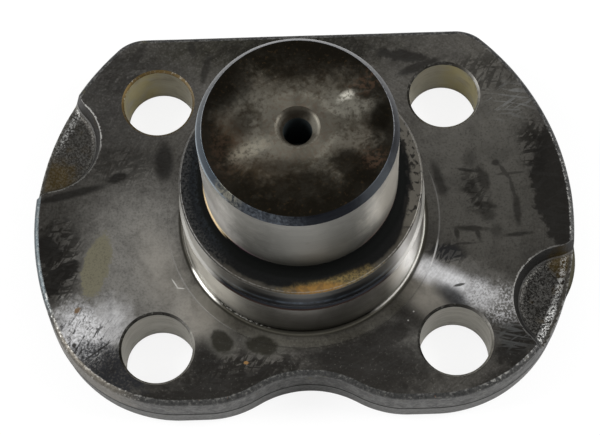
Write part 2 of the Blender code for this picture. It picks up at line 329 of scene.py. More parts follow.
def forged_flange(finishes):
    """The forging with its machined face, before anything is joined to it or cut from it."""
    points = ways_in(flange_outline)
    surfaces = ["edge", "face", "back"]
    levels = flange_levels()
    rim = max(level[1] for level in levels if level[3] == "edge" and level[0] > PARTING_HEIGHT)
    solid = bmesh.new()
    rings = []
    for height, inset, ridge, surface in levels:
        ring = []
        for point, way in points:
            wander = forged_wander(Vector((*point, height)))
            if surface == "face":
                wander = forged_wander(Vector((*point, FLANGE_THICKNESS)))
                wander *= max(0, 1 - (inset - rim) / FACE_RINGS[-1])
            placed = point + way * (inset + wander - ridge * trim_stand(point))
            ring.append(solid.verts.new((*placed, height)))
        rings.append(ring)
    numbers = [surfaces.index(level[3]) for level in levels[1:]]
    bridge(solid, rings, numbers)
    solid.faces.new(rings[0]).material_index = surfaces.index("back")
    solid.faces.new(rings[-1]).material_index = surfaces.index("face")
    return new_piece("king_pin_steel", solid, [finishes[surface] for surface in surfaces])


def recess_tool(name, angle, finish):
    """The half-moon form that sinks a recess into the flange's edge, with an uneven floor."""
    points = ways_in(recess_outline)
    turn = Matrix.Rotation(angle, 3, "Z")
    solid = bmesh.new()
    rings = []
    for height, inset in recess_levels():
        ring = []
        for point, way in points:
            nominal = Vector((*(point + way * inset), height))
            wander = 2 * forged_wander(turn @ nominal) - FORGED_WAVE
            ring.append(solid.verts.new((*(point + way * (inset + wander)), height)))
        rings.append(ring)
    bridge(solid, rings, [0] * len(rings))
    solid.faces.new(rings[-1])
    edge = [Vector(vertex.co[:2]) for vertex in rings[0]]
    low = [min(point[axis] for point in edge) for axis in (0, 1)]
    high = [max(point[axis] for point in edge) for axis in (0, 1)]
    columns, rows = [int((high[axis] - low[axis]) / FLOOR_GRID) for axis in (0, 1)]
    grid = [
        Vector((low[0] + (i + 0.5) * FLOOR_GRID, low[1] + (j + 0.5) * FLOOR_GRID))
        for i in range(columns)
        for j in range(rows)
    ]
    loop = [(i, (i + 1) % len(edge)) for i in range(len(edge))]
    places, _, triangles, origins, *_ = geometry.delaunay_2d_cdt(edge + grid, loop, [], 1, SAME_PLACE)
    known = {}
    for number, place in enumerate(places):
        on_edge = [origin for origin in origins[number] if origin < len(edge)]
        if on_edge:
            known[number] = rings[0][on_edge[0]]
        else:
            point = Vector((*place, rings[0][0].co.z))
            rise = noise.fractal((turn @ point) / RECESS_FLOOR_GRAIN, 0.6, 2.1, 4) * RECESS_FLOOR_ROUGHNESS
            known[number] = solid.verts.new(point + Vector((0, 0, rise)))
    for triangle in triangles:
        corners = [known[number] for number in triangle]
        if len(set(corners)) == 3:
            solid.faces.new(corners)
    tool = new_piece(name, solid, [finish])
    tool.data.transform(turn.to_4x4())
    return tool


def turned_piece(name, corners, steps, finishes):
    """A solid of revolution from a profile that starts and ends on the axis."""
    points, surfaces = eased(corners)
    order = sorted(set(surfaces))
    solid = bmesh.new()
    rings = []
    for radius, height in points[1:-1]:
        ring = [polar(radius, 2 * math.pi * i / steps) for i in range(steps)]
        rings.append([solid.verts.new((*point, height)) for point in ring])
    bridge(solid, rings, [order.index(surface) for surface in surfaces[1:-1]])
    for tip, ring, surface in ((points[0], rings[0], surfaces[0]), (points[-1], rings[-1], surfaces[-1])):
        middle = solid.verts.new((0, 0, tip[1]))
        for i in range(steps):
            solid.faces.new((middle, ring[i], ring[(i + 1) % steps])).material_index = order.index(surface)
    return new_piece(name, solid, [finishes[surface] for surface in order])


def turned_stack(finishes):
    """Boss, neck, shoulder and ground pin, down into the flange."""
    corners = [
        (0, PIN_END_HEIGHT, 0, "pin end", "pin end"),
        (PIN_RADIUS - PIN_CHAMFER_WIDTH, PIN_END_HEIGHT, EDGE_BREAK, "chamfer", "chamfer"),
        (PIN_RADIUS, PIN_END_HEIGHT - PIN_CHAMFER_HEIGHT, EDGE_BREAK, "pin", "chamfer"),
        (PIN_RADIUS, SHOULDER_HEIGHT, PIN_FOOT_ROUNDING, "shoulder", "shoulder"),
        (NECK_RADIUS - SHOULDER_CHAMFER, SHOULDER_HEIGHT, EDGE_BREAK, "shoulder", "shoulder"),
        (NECK_RADIUS, SHOULDER_HEIGHT - SHOULDER_CHAMFER, EDGE_BREAK, "neck", "neck"),
        (NECK_RADIUS, BOSS_STEP_HEIGHT + BOSS_RADIUS - NECK_RADIUS, EDGE_BREAK, "neck", "neck"),
        (BOSS_RADIUS, BOSS_STEP_HEIGHT, EDGE_BREAK, "boss", "boss"),
        (BOSS_RADIUS, LAND_HEIGHT, BOSS_FOOT_ROUNDING, "face", "face"),
        (LAND_RADIUS, LAND_HEIGHT, 0.5 * EDGE_BREAK, "face", "face"),
        (LAND_RADIUS, STACK_ROOT, 0.5 * EDGE_BREAK, "face", "face"),
        (0, STACK_ROOT, 0, "face", "face"),
    ]
    return turned_piece("turned_stack", corners, TURNED_STEPS, finishes)


def bolt_hole_tool(name, x, y, finishes):
    face_mouth = BOLT_HOLE_RADIUS + BOLT_FACE_CHAMFER + CUT_MARGIN
    back_mouth = BOLT_HOLE_RADIUS + BOLT_BACK_CHAMFER + CUT_MARGIN
    corners = [
        (0, FLANGE_THICKNESS + CUT_MARGIN, 0, "bolt hole", "bolt hole"),
        (face_mouth, FLANGE_THICKNESS + CUT_MARGIN, EDGE_BREAK, "hole chamfer", "hole chamfer"),
        (BOLT_HOLE_RADIUS, FLANGE_THICKNESS - BOLT_FACE_CHAMFER, EDGE_BREAK, "bolt hole", "hole chamfer"),
        (BOLT_HOLE_RADIUS, BOLT_BACK_CHAMFER, EDGE_BREAK, "hole chamfer", "hole chamfer"),
        (back_mouth, -CUT_MARGIN, EDGE_BREAK, "bolt hole", "bolt hole"),
        (0, -CUT_MARGIN, 0, "bolt hole", "bolt hole"),
    ]
    tool = turned_piece(name, corners, HOLE_STEPS, finishes)
    tool.data.transform(Matrix.Translation((x, y, 0)))
    return tool


def centre_hole_tool(finishes):
    """The centre hole: a drilled bore, a cone for a lathe's centre and a lip worn round."""
    spread = math.tan(CENTRE_MOUTH_SLOPE)
    top = PIN_END_HEIGHT + CUT_MARGIN
    lip_height = PIN_END_HEIGHT - CENTRE_LIP_DEPTH
    lip_radius = CENTRE_MOUTH_RADIUS - CENTRE_LIP_DEPTH * spread
    flare = lip_radius + (top - lip_height) * math.tan(CENTRE_LIP_SLOPE)
    cone_bottom = PIN_END_HEIGHT - (CENTRE_MOUTH_RADIUS - CENTRE_HOLE_RADIUS) / spread
    bottom = PIN_END_HEIGHT - CENTRE_HOLE_DEPTH
    hole = "centre hole"
    corners = [
        (0, top, 0, hole, hole),
        (flare, top, EDGE_BREAK, hole, hole),
        (lip_radius, lip_height, CENTRE_LIP_ROUNDING, hole, hole),
        (CENTRE_HOLE_RADIUS, cone_bottom, EDGE_BREAK, hole, hole),
        (CENTRE_HOLE_RADIUS, bottom, EDGE_BREAK, hole, hole),
        (0, bottom - CENTRE_HOLE_RADIUS / math.tan(DRILL_POINT_SLOPE), 0, hole, hole),
    ]
    return turned_piece("centre_hole_tool", corners, HOLE_STEPS, finishes)


def worked(piece, operation, tool):
    """Joins the tool to the piece or cuts it out. The new faces keep the tool's finish."""
    boolean = piece.modifiers.new(tool.name, "BOOLEAN")
    boolean.operation = operation
    boolean.object = tool
    boolean.solver = "EXACT"
    boolean.material_mode = "TRANSFER"
    graph = bpy.context.evaluated_depsgraph_get()
    mesh = bpy.data.meshes.new_from_object(piece.evaluated_get(graph))
    piece.modifiers.clear()
    piece.data = mesh
    bpy.data.objects.remove(tool)


def mark_rim_distance(mesh):
    """Each point's distance from the flange's outline, seen along the pin, in millimetres."""
    places = np.empty(len(mesh.vertices) * 3, np.float32)
    mesh.vertices.foreach_get("co", places)
    places = places.reshape(-1, 3)[:, :2].astype(float)
    outline = np.array([point[:] for point in flange_outline(0)])
    ways = np.roll(outline, -1, axis=0) - outline
    lengths = (ways**2).sum(1)
    nearest = np.empty(len(places))
    for number, place in enumerate(places):
        offset = place - outline
        share = np.clip((offset * ways).sum(1) / lengths, 0, 1)
        nearest[number] = np.sqrt(((offset - ways * share[:, None]) ** 2).sum(1).min())
    mark = mesh.attributes.new("rim_distance", "FLOAT", "POINT")
    mark.data.foreach_set("value", (nearest / MM).astype(np.float32))


def machined_king_pin(finishes):
    pin = forged_flange(finishes)
    for number, angle in enumerate(RECESS_ANGLES, 1):
        worked(pin, "DIFFERENCE", recess_tool(f"recess_tool_{number}", angle, finishes["recess"]))
    worked(pin, "UNION", turned_stack(finishes))
    for x in (-BOLT_X, BOLT_X):
        for y in (-BOLT_Y, BOLT_Y):
            worked(pin, "DIFFERENCE", bolt_hole_tool("bolt_hole_tool", x, y, finishes))
    worked(pin, "DIFFERENCE", centre_hole_tool(finishes))
    mark_rim_distance(pin.data)
    pin.data.shade_smooth()
    pin.data.set_sharp_from_angle(angle=SHARP_ANGLE)
    for face in pin.data.polygons:
        face.use_smooth = abs(face.normal.z) < LEVEL
    return pin


# Shared effects


def fill(tree, made, sockets):
    """Sets a node's sockets to values, or joins them to other nodes' sockets."""
    for key, value in sockets.items():
        if isinstance(value, bpy.types.NodeSocket):
            tree.links.new(value, made.inputs[key])
        else:
            made.inputs[key].default_value = value


def node(tree, kind, sockets=None, **settings):
    """A shader node with its settings and sockets."""
    made = tree.nodes.new("ShaderNode" + kind)
    for name, value in settings.items():
        setattr(made, name, value)
    fill(tree, made, sockets or {})
    return made


def calc(tree, operation, *values):
    return node(tree, "Math", dict(enumerate(values)), operation=operation).outputs[0]


def vector_calc(tree, operation, *values):
    return node(tree, "VectorMath", dict(enumerate(values)), operation=operation).outputs[0]


def between(tree, value, low, high, start=0.0, end=1.0):
    """Goes smoothly from start to end as the value goes from low to high."""
    sockets = {"Value": value, "From Min": low, "From Max": high, "To Min": start, "To Max": end}
    return node(tree, "MapRange", sockets, interpolation_type="SMOOTHSTEP").outputs[0]


def tint(tree, share, under, over):
    """The over colour laid on the under colour by its share."""
    colours = [(*colour, 1) if isinstance(colour, tuple) else colour for colour in (under, over)]
    sockets = {0: share, 6: colours[0], 7: colours[1]}
    return node(tree, "Mix", sockets, data_type="RGBA").outputs[2]


def shift(tree, share, under, over):
    return node(tree, "Mix", {0: share, 2: under, 3: over}, data_type="FLOAT").outputs[0]


def mottle(tree, place, size, detail, roughness, distortion=0.0):
    """Soft noise whose largest features are about size millimetres across."""
    sockets = {"Vector": place, "Scale": 1 / size, "Detail": detail, "Roughness": roughness}
    sockets["Distortion"] = distortion
    return node(tree, "TexNoise", sockets).outputs[0]


def length(tree, vector):
    return node(tree, "VectorMath", {0: vector}, operation="LENGTH").outputs["Value"]


def turned_flat(tree, place, angle):
    """A place turned about an upright axis."""
    sockets = {"Vector": place, "Angle": angle}
    return node(tree, "VectorRotate", sockets, rotation_type="Z_AXIS").outputs[0]


def passing(tree, value, level, softness, start=0.0, end=1.0):
    """Goes smoothly from start to end as the value passes a level, over softness on both sides."""
    low = calc(tree, "SUBTRACT", level, softness)
    high = calc(tree, "ADD", level, softness)
    return between(tree, value, low, high, start, end)


def effect(name, inputs, outputs, build):
    """A node group with named sockets, which build fills. Three numbers stand for a vector socket."""
    tree = bpy.data.node_groups.new(name, "ShaderNodeTree")
    for side, sockets in (("INPUT", inputs), ("OUTPUT", outputs)):
        for label, default in sockets.items():
            kind = "NodeSocketVector" if isinstance(default, tuple) else "NodeSocketFloat"
            tree.interface.new_socket(label, in_out=side, socket_type=kind).default_value = default
    given = tree.nodes.new("NodeGroupInput").outputs
    made = build(tree, given)
    result = tree.nodes.new("NodeGroupOutput")
    for label, socket in made.items():
        tree.links.new(socket, result.inputs[label])
    return tree


def use(tree, group, **sockets):
    """Places a shared effect in a material. Socket names are written with underscores for spaces."""
    placed = tree.nodes.new("ShaderNodeGroup")
    placed.node_tree = group
    fill(tree, placed, {key.replace("_", " "): value for key, value in sockets.items()})
    return placed.outputs


def build_position(tree, given):
    place = node(tree, "TexCoord").outputs["Object"]
    place = node(tree, "VectorMath", {0: place, "Scale": 1 / MM}, operation="SCALE").outputs[0]
    parts = node(tree, "SeparateXYZ", {0: place}).outputs
    flat = node(tree, "CombineXYZ", {"X": parts["X"], "Y": parts["Y"]}).outputs[0]
    radius = length(tree, flat)
    return {"Place": place, "X": parts["X"], "Y": parts["Y"], "Height": parts["Z"], "Radius": radius}


def build_turned_lines(tree, given):
    parts = node(tree, "SeparateXYZ", {0: given["Place"]}).outputs
    run = calc(tree, "ADD", given["Radius"], given["Height"])
    across = calc(tree, "DIVIDE", run, given["Spacing"])
    slow_x = calc(tree, "MULTIPLY", parts["X"], given["Breaks"])
    slow_y = calc(tree, "MULTIPLY", parts["Y"], given["Breaks"])
    way = node(tree, "CombineXYZ", {"X": across, "Y": slow_x, "Z": slow_y}).outputs[0]
    return {"Lines": between(tree, mottle(tree, way, 1, 4.0, 0.7), 0.3, 0.7)}


def build_film(tree, given):
    moved = vector_calc(tree, "ADD", given["Place"], given["Seed"])
    cloud = mottle(tree, vector_calc(tree, "DIVIDE", moved, given["Patch Size"]), 1, 6.0, 0.62, 0.5)
    level = calc(tree, "SUBTRACT", 0.72, calc(tree, "MULTIPLY", given["Cover"], 0.44))
    return {"Mask": passing(tree, cloud, level, given["Softness"])}


def build_strokes(tree, given):
    moved = vector_calc(tree, "ADD", given["Place"], given["Seed"])
    turned = turned_flat(tree, moved, given["Turn"])
    sizes = {"X": given["Length"], "Y": given["Width"], "Z": given["Width"]}
    sizes = node(tree, "CombineXYZ", sizes).outputs[0]
    cloud = mottle(tree, vector_calc(tree, "DIVIDE", turned, sizes), 1, 3.0, 0.5, 0.9)
    level = calc(tree, "SUBTRACT", 0.78, calc(tree, "MULTIPLY", given["Cover"], 0.44))
    return {"Mask": passing(tree, cloud, level, 0.035)}


def build_mark(tree, given):
    offset = vector_calc(tree, "SUBTRACT", given["Place"], given["Centre"])
    turned = turned_flat(tree, offset, calc(tree, "MULTIPLY", given["Turn"], -1.0))
    reach = length(tree, vector_calc(tree, "DIVIDE", turned, given["Half Size"]))
    ragged = calc(tree, "MULTIPLY", calc(tree, "SUBTRACT", given["Ragged"], 0.5), given["Raggedness"])
    return {"Mask": passing(tree, calc(tree, "ADD", reach, ragged), 1.0, given["Softness"], 1.0, 0.0)}


def build_worn_edge(tree, given):
    width = calc(tree, "MULTIPLY", given["Width"], between(tree, given["Ragged"], 0.36, 0.62, 0.1, 1.4))
    inner = calc(tree, "MULTIPLY", width, 0.4)
    return {"Mask": between(tree, calc(tree, "ABSOLUTE", given["Distance"]), inner, width, 1.0, 0.0)}


def build_forged_skin(tree, given):
    scaled = vector_calc(tree, "DIVIDE", given["Place"], given["Pit Size"])
    waves = mottle(tree, scaled, 2, 5.0, 0.65)
    sockets = {"Vector": scaled, "Scale": 1.0}
    cells = node(tree, "TexVoronoi", sockets, feature="SMOOTH_F1").outputs["Distance"]
    pits = between(tree, cells, 0.0, 0.42)
    height = calc(tree, "ADD", calc(tree, "MULTIPLY", waves, 0.65), calc(tree, "MULTIPLY", pits, 0.35))
    return {"Height": height, "Tone": between(tree, waves, 0.35, 0.65)}


def shared_effects():
    place = {"Place": (0, 0, 0)}
    seed = {"Seed": (0, 0, 0)}
    mask = {"Mask": 0}
    film = {**place, "Patch Size": (8, 8, 8), "Cover": 0.5, "Softness": 0.05, **seed}
    strokes = {**place, "Turn": 0, "Length": 10, "Width": 1, "Cover": 0.5, **seed}
    mark = {**place, "Centre": (0, 0, 0), "Half Size": (5, 5, 5), "Turn": 0}
    mark.update({"Ragged": 0.5, "Raggedness": 1, "Softness": 0.2})
    position = {**place, "X": 0, "Y": 0, "Height": 0, "Radius": 0}
    turned = {**place, "Radius": 0, "Height": 0, "Spacing": 0.5, "Breaks": 0.05}
    worn = {"Distance": 1, "Width": 0.5, "Ragged": 0.5}
    skin = {**place, "Pit Size": (1, 1, 1)}
    return {
        "position": effect("Position on the pin in millimetres", {}, position, build_position),
        "turned lines": effect("Turned lines", turned, {"Lines": 0}, build_turned_lines),
        "film": effect("Oil and rust film", film, mask, build_film),
        "strokes": effect("Rubbed strokes", strokes, mask, build_strokes),
        "mark": effect("Mark at a place", mark, mask, build_mark),
        "worn edge": effect("Worn edge", worn, mask, build_worn_edge),
        "forged skin": effect("Forged skin", skin, {"Height": 0, "Tone": 0}, build_forged_skin),
    }


# Finishes


class Finish:
    """One material in the making: its node tree, the shared effects, and where its surface lies.

    Places and sizes are in millimetres and turns in degrees.
    """

    def __init__(self, name, effects, level=0.0):
        self.material = bpy.data.materials.new(name)
        self.material.use_nodes = True
        self.tree = self.material.node_tree
        self.shader = self.tree.nodes["Principled BSDF"]
        self.effects = effects
        self.level = level
        self.at = use(self.tree, effects["position"])
        self.place = self.at["Place"]
        self.ragged = self.mottle(2.4, 6.0, 0.62, 0.4)
        self.fine = self.mottle(0.7, 4.0, 0.6)
        self.metallic = 1.0

    def base(self, pattern, dark, light, rougher, smoother):
        """The bare surface: two colours and two roughnesses that follow a pattern."""
        self.colour = tint(self.tree, pattern, dark, light)
        self.roughness = shift(self.tree, pattern, rougher, smoother)

    def dull(self, metallic):
        """Takes some of the metal and most of the gloss away, so that it stays dark at a glancing angle."""
        self.metallic = metallic
        self.shader.inputs["Specular IOR Level"].default_value = 0.1

    def mottle(self, *look):
        return mottle(self.tree, self.place, *look)

    def lines(self, spacing, breaks):
        sockets = {"Place": self.place, "Radius": self.at["Radius"], "Height": self.at["Height"]}
        return use(self.tree, self.effects["turned lines"], **sockets, Spacing=spacing, Breaks=breaks)[0]

    def film(self, size, cover, softness, seed):
        sockets = {"Patch_Size": size, "Cover": cover, "Softness": softness, "Seed": seed}
        return use(self.tree, self.effects["film"], Place=self.place, **sockets)[0]

    def strokes(self, turn, length, width, cover, seed=(0, 0, 0)):
        sockets = {"Turn": math.radians(turn), "Length": length, "Width": width, "Cover": cover, "Seed": seed}
        return use(self.tree, self.effects["strokes"], Place=self.place, **sockets)[0]

    def fans(self, count):
        """Soft streaks that spread from the pin's axis."""
        way = vector_calc(self.tree, "NORMALIZE", vector_calc(self.tree, "MULTIPLY", self.place, (1, 1, 0)))
        return mottle(self.tree, way, 1 / count, 3.0, 0.6)

    def blend(self, first, second):
        return shift(self.tree, 0.5, first, second)

    def mark(self, centre, half_size, turn, raggedness, softness, ragged=None):
        sockets = {"Centre": centre, "Half_Size": half_size, "Turn": math.radians(turn)}
        sockets.update({"Ragged": ragged or self.ragged, "Raggedness": raggedness, "Softness": softness})
        return use(self.tree, self.effects["mark"], Place=self.place, **sockets)[0]

    def spot(self, x, y, length, width, turn, raggedness, softness, strength=1.0):
        """A mark on the level surface that the finish is for, from its centre and half sizes."""
        made = self.mark((x, y, self.level), (length, width, 4), turn, raggedness, softness)
        return self.times(made, strength) if strength != 1 else made

    def spots(self, *rows):
        """The strongest of several spots, each given by what spot takes."""
        return self.most(*[self.spot(*row) for row in rows])

    def worn(self, distance, width):
        sockets = {"Distance": distance, "Width": width, "Ragged": self.fine}
        return use(self.tree, self.effects["worn edge"], **sockets)[0]

    def skin(self, pit_size):
        return use(self.tree, self.effects["forged skin"], Place=self.place, Pit_Size=(pit_size,) * 3)

    def calc(self, operation, *values):
        return calc(self.tree, operation, *values)

    def between(self, value, low, high, start=0.0, end=1.0):
        return between(self.tree, value, low, high, start, end)

    def below(self, value, low, high):
        """1 up to low, falling to 0 at high."""
        return self.between(value, low, high, 1.0, 0.0)

    def past(self, value, edge):
        """How far a value lies past an edge."""
        return self.calc("SUBTRACT", value, edge)

    def times(self, *masks):
        made = masks[0]
        for mask in masks[1:]:
            made = self.calc("MULTIPLY", made, mask)
        return made

    def most(self, *masks):
        made = masks[0]
        for mask in masks[1:]:
            made = self.calc("MAXIMUM", made, mask)
        return made

    def band(self, value, low, high, soft):
        """1 between low and high, falling to 0 over soft on both sides."""
        rise = self.between(value, low - soft, low + soft)
        fall = self.below(value, high - soft, high + soft)
        return self.times(rise, fall)

    def lay(self, mask, strength, colour, roughness=None, metallic=None):
        """Lays a colour, and a roughness and a metal share if given, over the finish so far."""
        share = self.times(mask, strength) if strength != 1 else mask
        self.colour = tint(self.tree, share, self.colour, colour)
        if roughness is not None:
            self.roughness = shift(self.tree, share, self.roughness, roughness)
        if metallic is not None:
            self.metallic = shift(self.tree, share, self.metallic, metallic)

    def bumps(self, *heights):
        """A normal from (height, depth in millimetres) pairs."""
        normal = None
        for height, depth in heights:
            sockets = {"Height": height, "Distance": depth * MM, "Strength": 1.0}
            if normal is not None:
                sockets["Normal"] = normal
            normal = node(self.tree, "Bump", sockets).outputs[0]
        return normal

    def done(self, normal, anisotropy=0.0):
        looks = {"Base Color": self.colour, "Roughness": self.roughness, "Metallic": self.metallic}
        fill(self.tree, self.shader, {**looks, "Normal": normal})
        if anisotropy:
            self.shader.inputs["Anisotropic"].default_value = anisotropy
            turning = node(self.tree, "Tangent", direction_type="RADIAL", axis="Z")
            self.tree.links.new(turning.outputs[0], self.shader.inputs["Tangent"])
        return self.material


def bolt_hole_distance(finish):
    """Millimetres outwards from the nearest bolt hole's wall."""
    x = finish.past(finish.calc("ABSOLUTE", finish.at["X"]), BOLT_X / MM)
    y = finish.past(finish.calc("ABSOLUTE", finish.at["Y"]), BOLT_Y / MM)
    way = node(finish.tree, "CombineXYZ", {"X": x, "Y": y}).outputs[0]
    return finish.past(length(finish.tree, way), BOLT_HOLE_RADIUS / MM)


def recess_distance(finish):
    """Millimetres outwards from the nearest recess's edge on the machined face."""
    centre = polar((FLANGE_RADIUS + RECESS_OUTSET) / MM, RECESS_ANGLES[0])
    reaches = []
    for side in (1, -1):
        way = vector_calc(finish.tree, "SUBTRACT", finish.place, (side * centre.x, side * centre.y, 0))
        flat = vector_calc(finish.tree, "MULTIPLY", way, (1, 1, 0))
        reaches.append(length(finish.tree, flat))
    return finish.past(finish.calc("MINIMUM", *reaches), RECESS_RADIUS / MM)


def rim_distance(finish):
    return node(finish.tree, "Attribute", attribute_name="rim_distance").outputs["Fac"]


def turned_flange_face(effects):
    """Faced steel, cleaner beside the boss with painted sheen and highlights there, dark with wiped oil
    towards the rear and the notch.
    """
    face = Finish("Turned flange face", effects, FLANGE_THICKNESS / MM)
    lines = face.lines(0.32, 0.02)
    coarse = face.lines(1.7, 0.05)
    cloud = face.mottle(11, 6, 0.62, 0.3)
    grain = face.mottle(0.55, 3, 0.7)
    fans = face.fans(7)
    face.base(lines, (0.038, 0.0355, 0.031), (0.056, 0.053, 0.0475), 0.43, 0.48)
    face.lay(face.between(cloud, 0.4, 0.6), 0.5, (0.024, 0.0226, 0.0196))
    face.lay(face.spot(43, 12, 14, 26, 0, 1, 0.6), 0.75, (0.085, 0.081, 0.071))
    face.lay(face.spot(-48, 36, 20, 15, 30, 1, 0.6), 0.75, (0.021, 0.0202, 0.019))
    face.lay(face.spot(-8, 48, 28, 9, 0, 1.2, 0.6), 0.8, (0.015, 0.0145, 0.0095))
    face.lay(coarse, 0.16, (0.075, 0.071, 0.065))
    face.lay(face.between(grain, 0.5, 0.7), 0.34, (0.09, 0.086, 0.08))
    face.lay(face.between(grain, 0.5, 0.3), 0.42, (0.014, 0.013, 0.0115))
    # cleaner steel beside the boss, lighter there also as painted sheen fanning off the turned face
    clean_steel_and_sheen = face.most(
        face.spot(-41, -9, 13, 18, -10, 1, 0.7),
        face.spot(-52, -26, 9, 11, -40, 1.4, 0.4),
        face.spot(-33, -22, 10, 9, -40, 1, 0.7),
        face.spot(-46, -26, 6, 7, -30, 1, 0.6),
        face.times(face.spot(39, -18, 12, 5, -27, 0.8, 0.6, 0.85), face.between(fans, 0.1, 0.6)),
        face.times(face.spot(22, -31, 8, 4, -40, 1, 0.6, 0.6), face.between(fans, 0.2, 0.7)),
    )
    clean_steel_and_sheen = face.times(clean_steel_and_sheen, face.between(grain, 0.25, 0.6, 0.55, 1))
    face.lay(clean_steel_and_sheen, 0.82, (0.215, 0.207, 0.19), 0.38)
    # painted sheen: warm bright patches beside the boss's foot and on the left lobe
    warm = face.spots(
        (29.5, -20.3, 4.6, 4.6, -50, 0.6, 0.8, 0.8),
        (-34, -13.5, 4.6, 11, 20, 0.6, 0.8, 0.6),
        (-26, -24, 6.5, 4.6, -45, 0.6, 0.8, 0.75),
    )
    face.lay(warm, 0.62, (0.36, 0.335, 0.29), 0.36)
    specks = face.between(grain, 0.42, 0.58)
    crisp = face.between(grain, 0.32, 0.6, 0.4, 1)
    fanned = face.between(fans, 0.1, 0.6, 0.6, 1)
    dappled = face.between(grain, 0.36, 0.6, 0.5, 1)
    dotted = face.between(grain, 0.46, 0.58, 0.1, 1)
    # painted highlights: bright fans off the turned face right of the boss, and a glint zone on the left lobe
    bright = face.most(
        face.times(face.spot(-53.6, -27.6, 7, 6.6, -35, 1.4, 0.5), crisp),
        face.spot(29.6, -14.2, 4.6, 2.6, -26, 0.4, 0.7),
        face.times(face.spot(35, -16.9, 6, 2.6, -27, 0.6, 0.6), fanned),
        face.times(face.spot(41, -20.2, 5.5, 3.4, -27, 1.2, 0.6, 0.8), dappled),
        face.times(face.spot(47, -23.5, 5, 4.2, -40, 1.4, 0.6, 0.6), dotted),
        face.spot(-47.5, -26, 5, 6, -20, 1.2, 0.6, 0.6),
    )
    brushed = face.blend(face.strokes(-52, 6, 0.45, 0.6, (13, 2, 0)), specks)
    bright = face.times(bright, shift(face.tree, brushed, 0.72, 1))
    face.lay(bright, 0.88, (0.72, 0.72, 0.735), 0.33)
    face.lay(face.film((7, 7, 7), 0.36, 0.12, (3, 8, 0)), 0.3, BLACK_OIL, 0.36)
    clusters = face.spots(
        (42, 6, 3, 6, 10, 1.8, 0.5, 0.8),
        (34.4, -9.8, 4.6, 2.8, -10, 1.4, 0.5),
        (57, 17, 3.5, 8, 0, 1.8, 0.5),
        (-14, -38, 13, 5, 0, 1.6, 0.5),
        (-43, 40, 9, 6, 0, 1.4, 0.4, 0.6),
        (-45, 15, 8, 5, 0, 1.4, 0.4, 0.6),
        (46, 38, 9, 5, 0, 1.4, 0.4, 0.7),
        (0, 46, 26, 4, 0, 1.4, 0.4, 0.6),
        (-60, -9, 6, 11, 0, 1.4, 0.4),
    )
    rubbed = face.most(
        face.strokes(-58, 5, 1.3, 0.62, (0, 0, 0)),
        face.strokes(-8, 4.5, 1.1, 0.55, (40, 7, 0)),
    )
    face.lay(face.times(rubbed, clusters), 0.82, (0.01, 0.0093, 0.008), 0.34)
    streaks = face.spots(
        (33.2, 9.6, 1.1, 4.6, 16, 1.4, 0.6),
        (34.2, 6.6, 1.3, 1.5, 0, 1.4, 0.6),
        (39.8, 11.6, 2.6, 0.4, -12, 1.8, 0.4),
        (41.4, 14.8, 1.6, 2.2, 0, 1.6, 0.7, 0.7),
        (44, 9.2, 1.4, 3.6, 12, 1.8, 0.5),
        (41.2, 6.4, 1.5, 2.4, 8, 1.8, 0.5),
        (44.4, 2.2, 3.2, 0.8, -12, 1.8, 0.5),
        (44.8, -0.4, 1.8, 1.6, 0, 2, 0.5, 0.8),
        (47.4, 13.2, 1, 0.8, 0, 1.4, 0.4),
        (49.3, 11, 0.45, 3, 32, 1.6, 0.4, 0.8),
        (51.2, 6, 0.5, 3.4, 12, 1.6, 0.4, 0.8),
        (51.9, 1, 0.9, 4, 2, 1.6, 0.5),
        (51, 10.4, 3.2, 0.35, 4, 1.6, 0.4, 0.7),
        (40.6, -3.8, 4.2, 0.7, -4, 1.6, 0.4),
        (37, -5, 0.6, 1.7, 4, 1.6, 0.4),
        (42.2, -5.2, 0.6, 1.7, 12, 1.6, 0.4),
        (46.6, -4.6, 1.4, 1.8, 0, 2, 0.6, 0.7),
        (51.6, -5.6, 3.4, 0.6, 6, 1.8, 0.4),
        (39, -7.6, 2.2, 0.35, 0, 1.6, 0.4, 0.8),
    )
    face.lay(streaks, 0.72, (0.012, 0.0112, 0.0098), 0.36)
    dark = face.spots(
        (14, -38, 16, 8.5, 0, 1.2, 0.4),
        (18, -31.5, 9, 3.6, 28, 1.2, 0.4),
        (7, -34.8, 5, 2.4, 4, 0.8, 0.3),
        (-14, -42, 20, 4, 0, 1.2, 0.4),
        (-30, -44.5, 14, 2.6, 4, 1.4, 0.5),
        (-24, -36.5, 3.5, 6, 0, 1.4, 0.5),
        (62, 6, 6, 16, 8, 1.1, 0.08),
        (49, -35, 5, 3.4, 35, 1.8, 0.4),
        (-57, 8, 9, 1.1, 14, 0.9, 0.4),
        (-62, -7, 3.8, 3.4, -50, 1.6, 0.1),
        (-58, -12, 5, 2, 30, 1.4, 0.1),
        (-61.5, -16, 2.6, 3, -20, 1.6, 0.1),
        (-34, 16, 2.2, 5, 0, 1, 0.4),
        (-45.3, 12.1, 2.6, 1.2, 20, 1.4, 0.4),
        (-40.6, 45.1, 1.2, 3.6, -30, 1.4, 0.4, 0.8),
        (-27, 46.5, 1, 2.6, 10, 1.4, 0.4, 0.8),
        (-23.5, 41, 1, 3.6, -14, 1.4, 0.4, 0.8),
        (30, 40, 6, 1.3, 22, 1.2, 0.3),
        (26, 43, 7, 1.6, -10, 1.6, 0.3),
        (46, -43, 8, 3, 25, 1.4, 0.5),
        (24, -25.5, 2.6, 6, 52, 1, 0.6, 0.7),
        (51, -31.5, 5.5, 3.2, -20, 1.6, 0.5),
    )
    face.lay(dark, 0.85, (0.0125, 0.0117, 0.0105), 0.38)
    gritty = face.between(grain, 0.44, 0.66, 1, 0.45)
    blue = face.most(
        face.times(face.spot(-46.4, -36.4, 9.5, 4.8, -32, 1.4, 0.25), gritty),
        face.spot(34.4, -9.8, 3.8, 1.9, -10, 1.4, 0.5, 0.6),
        face.spot(35, -20.8, 4.6, 2.1, -40, 0.8, 0.6, 0.95),
    )
    face.lay(blue, 0.86, (0.017, 0.018, 0.021), 0.36)
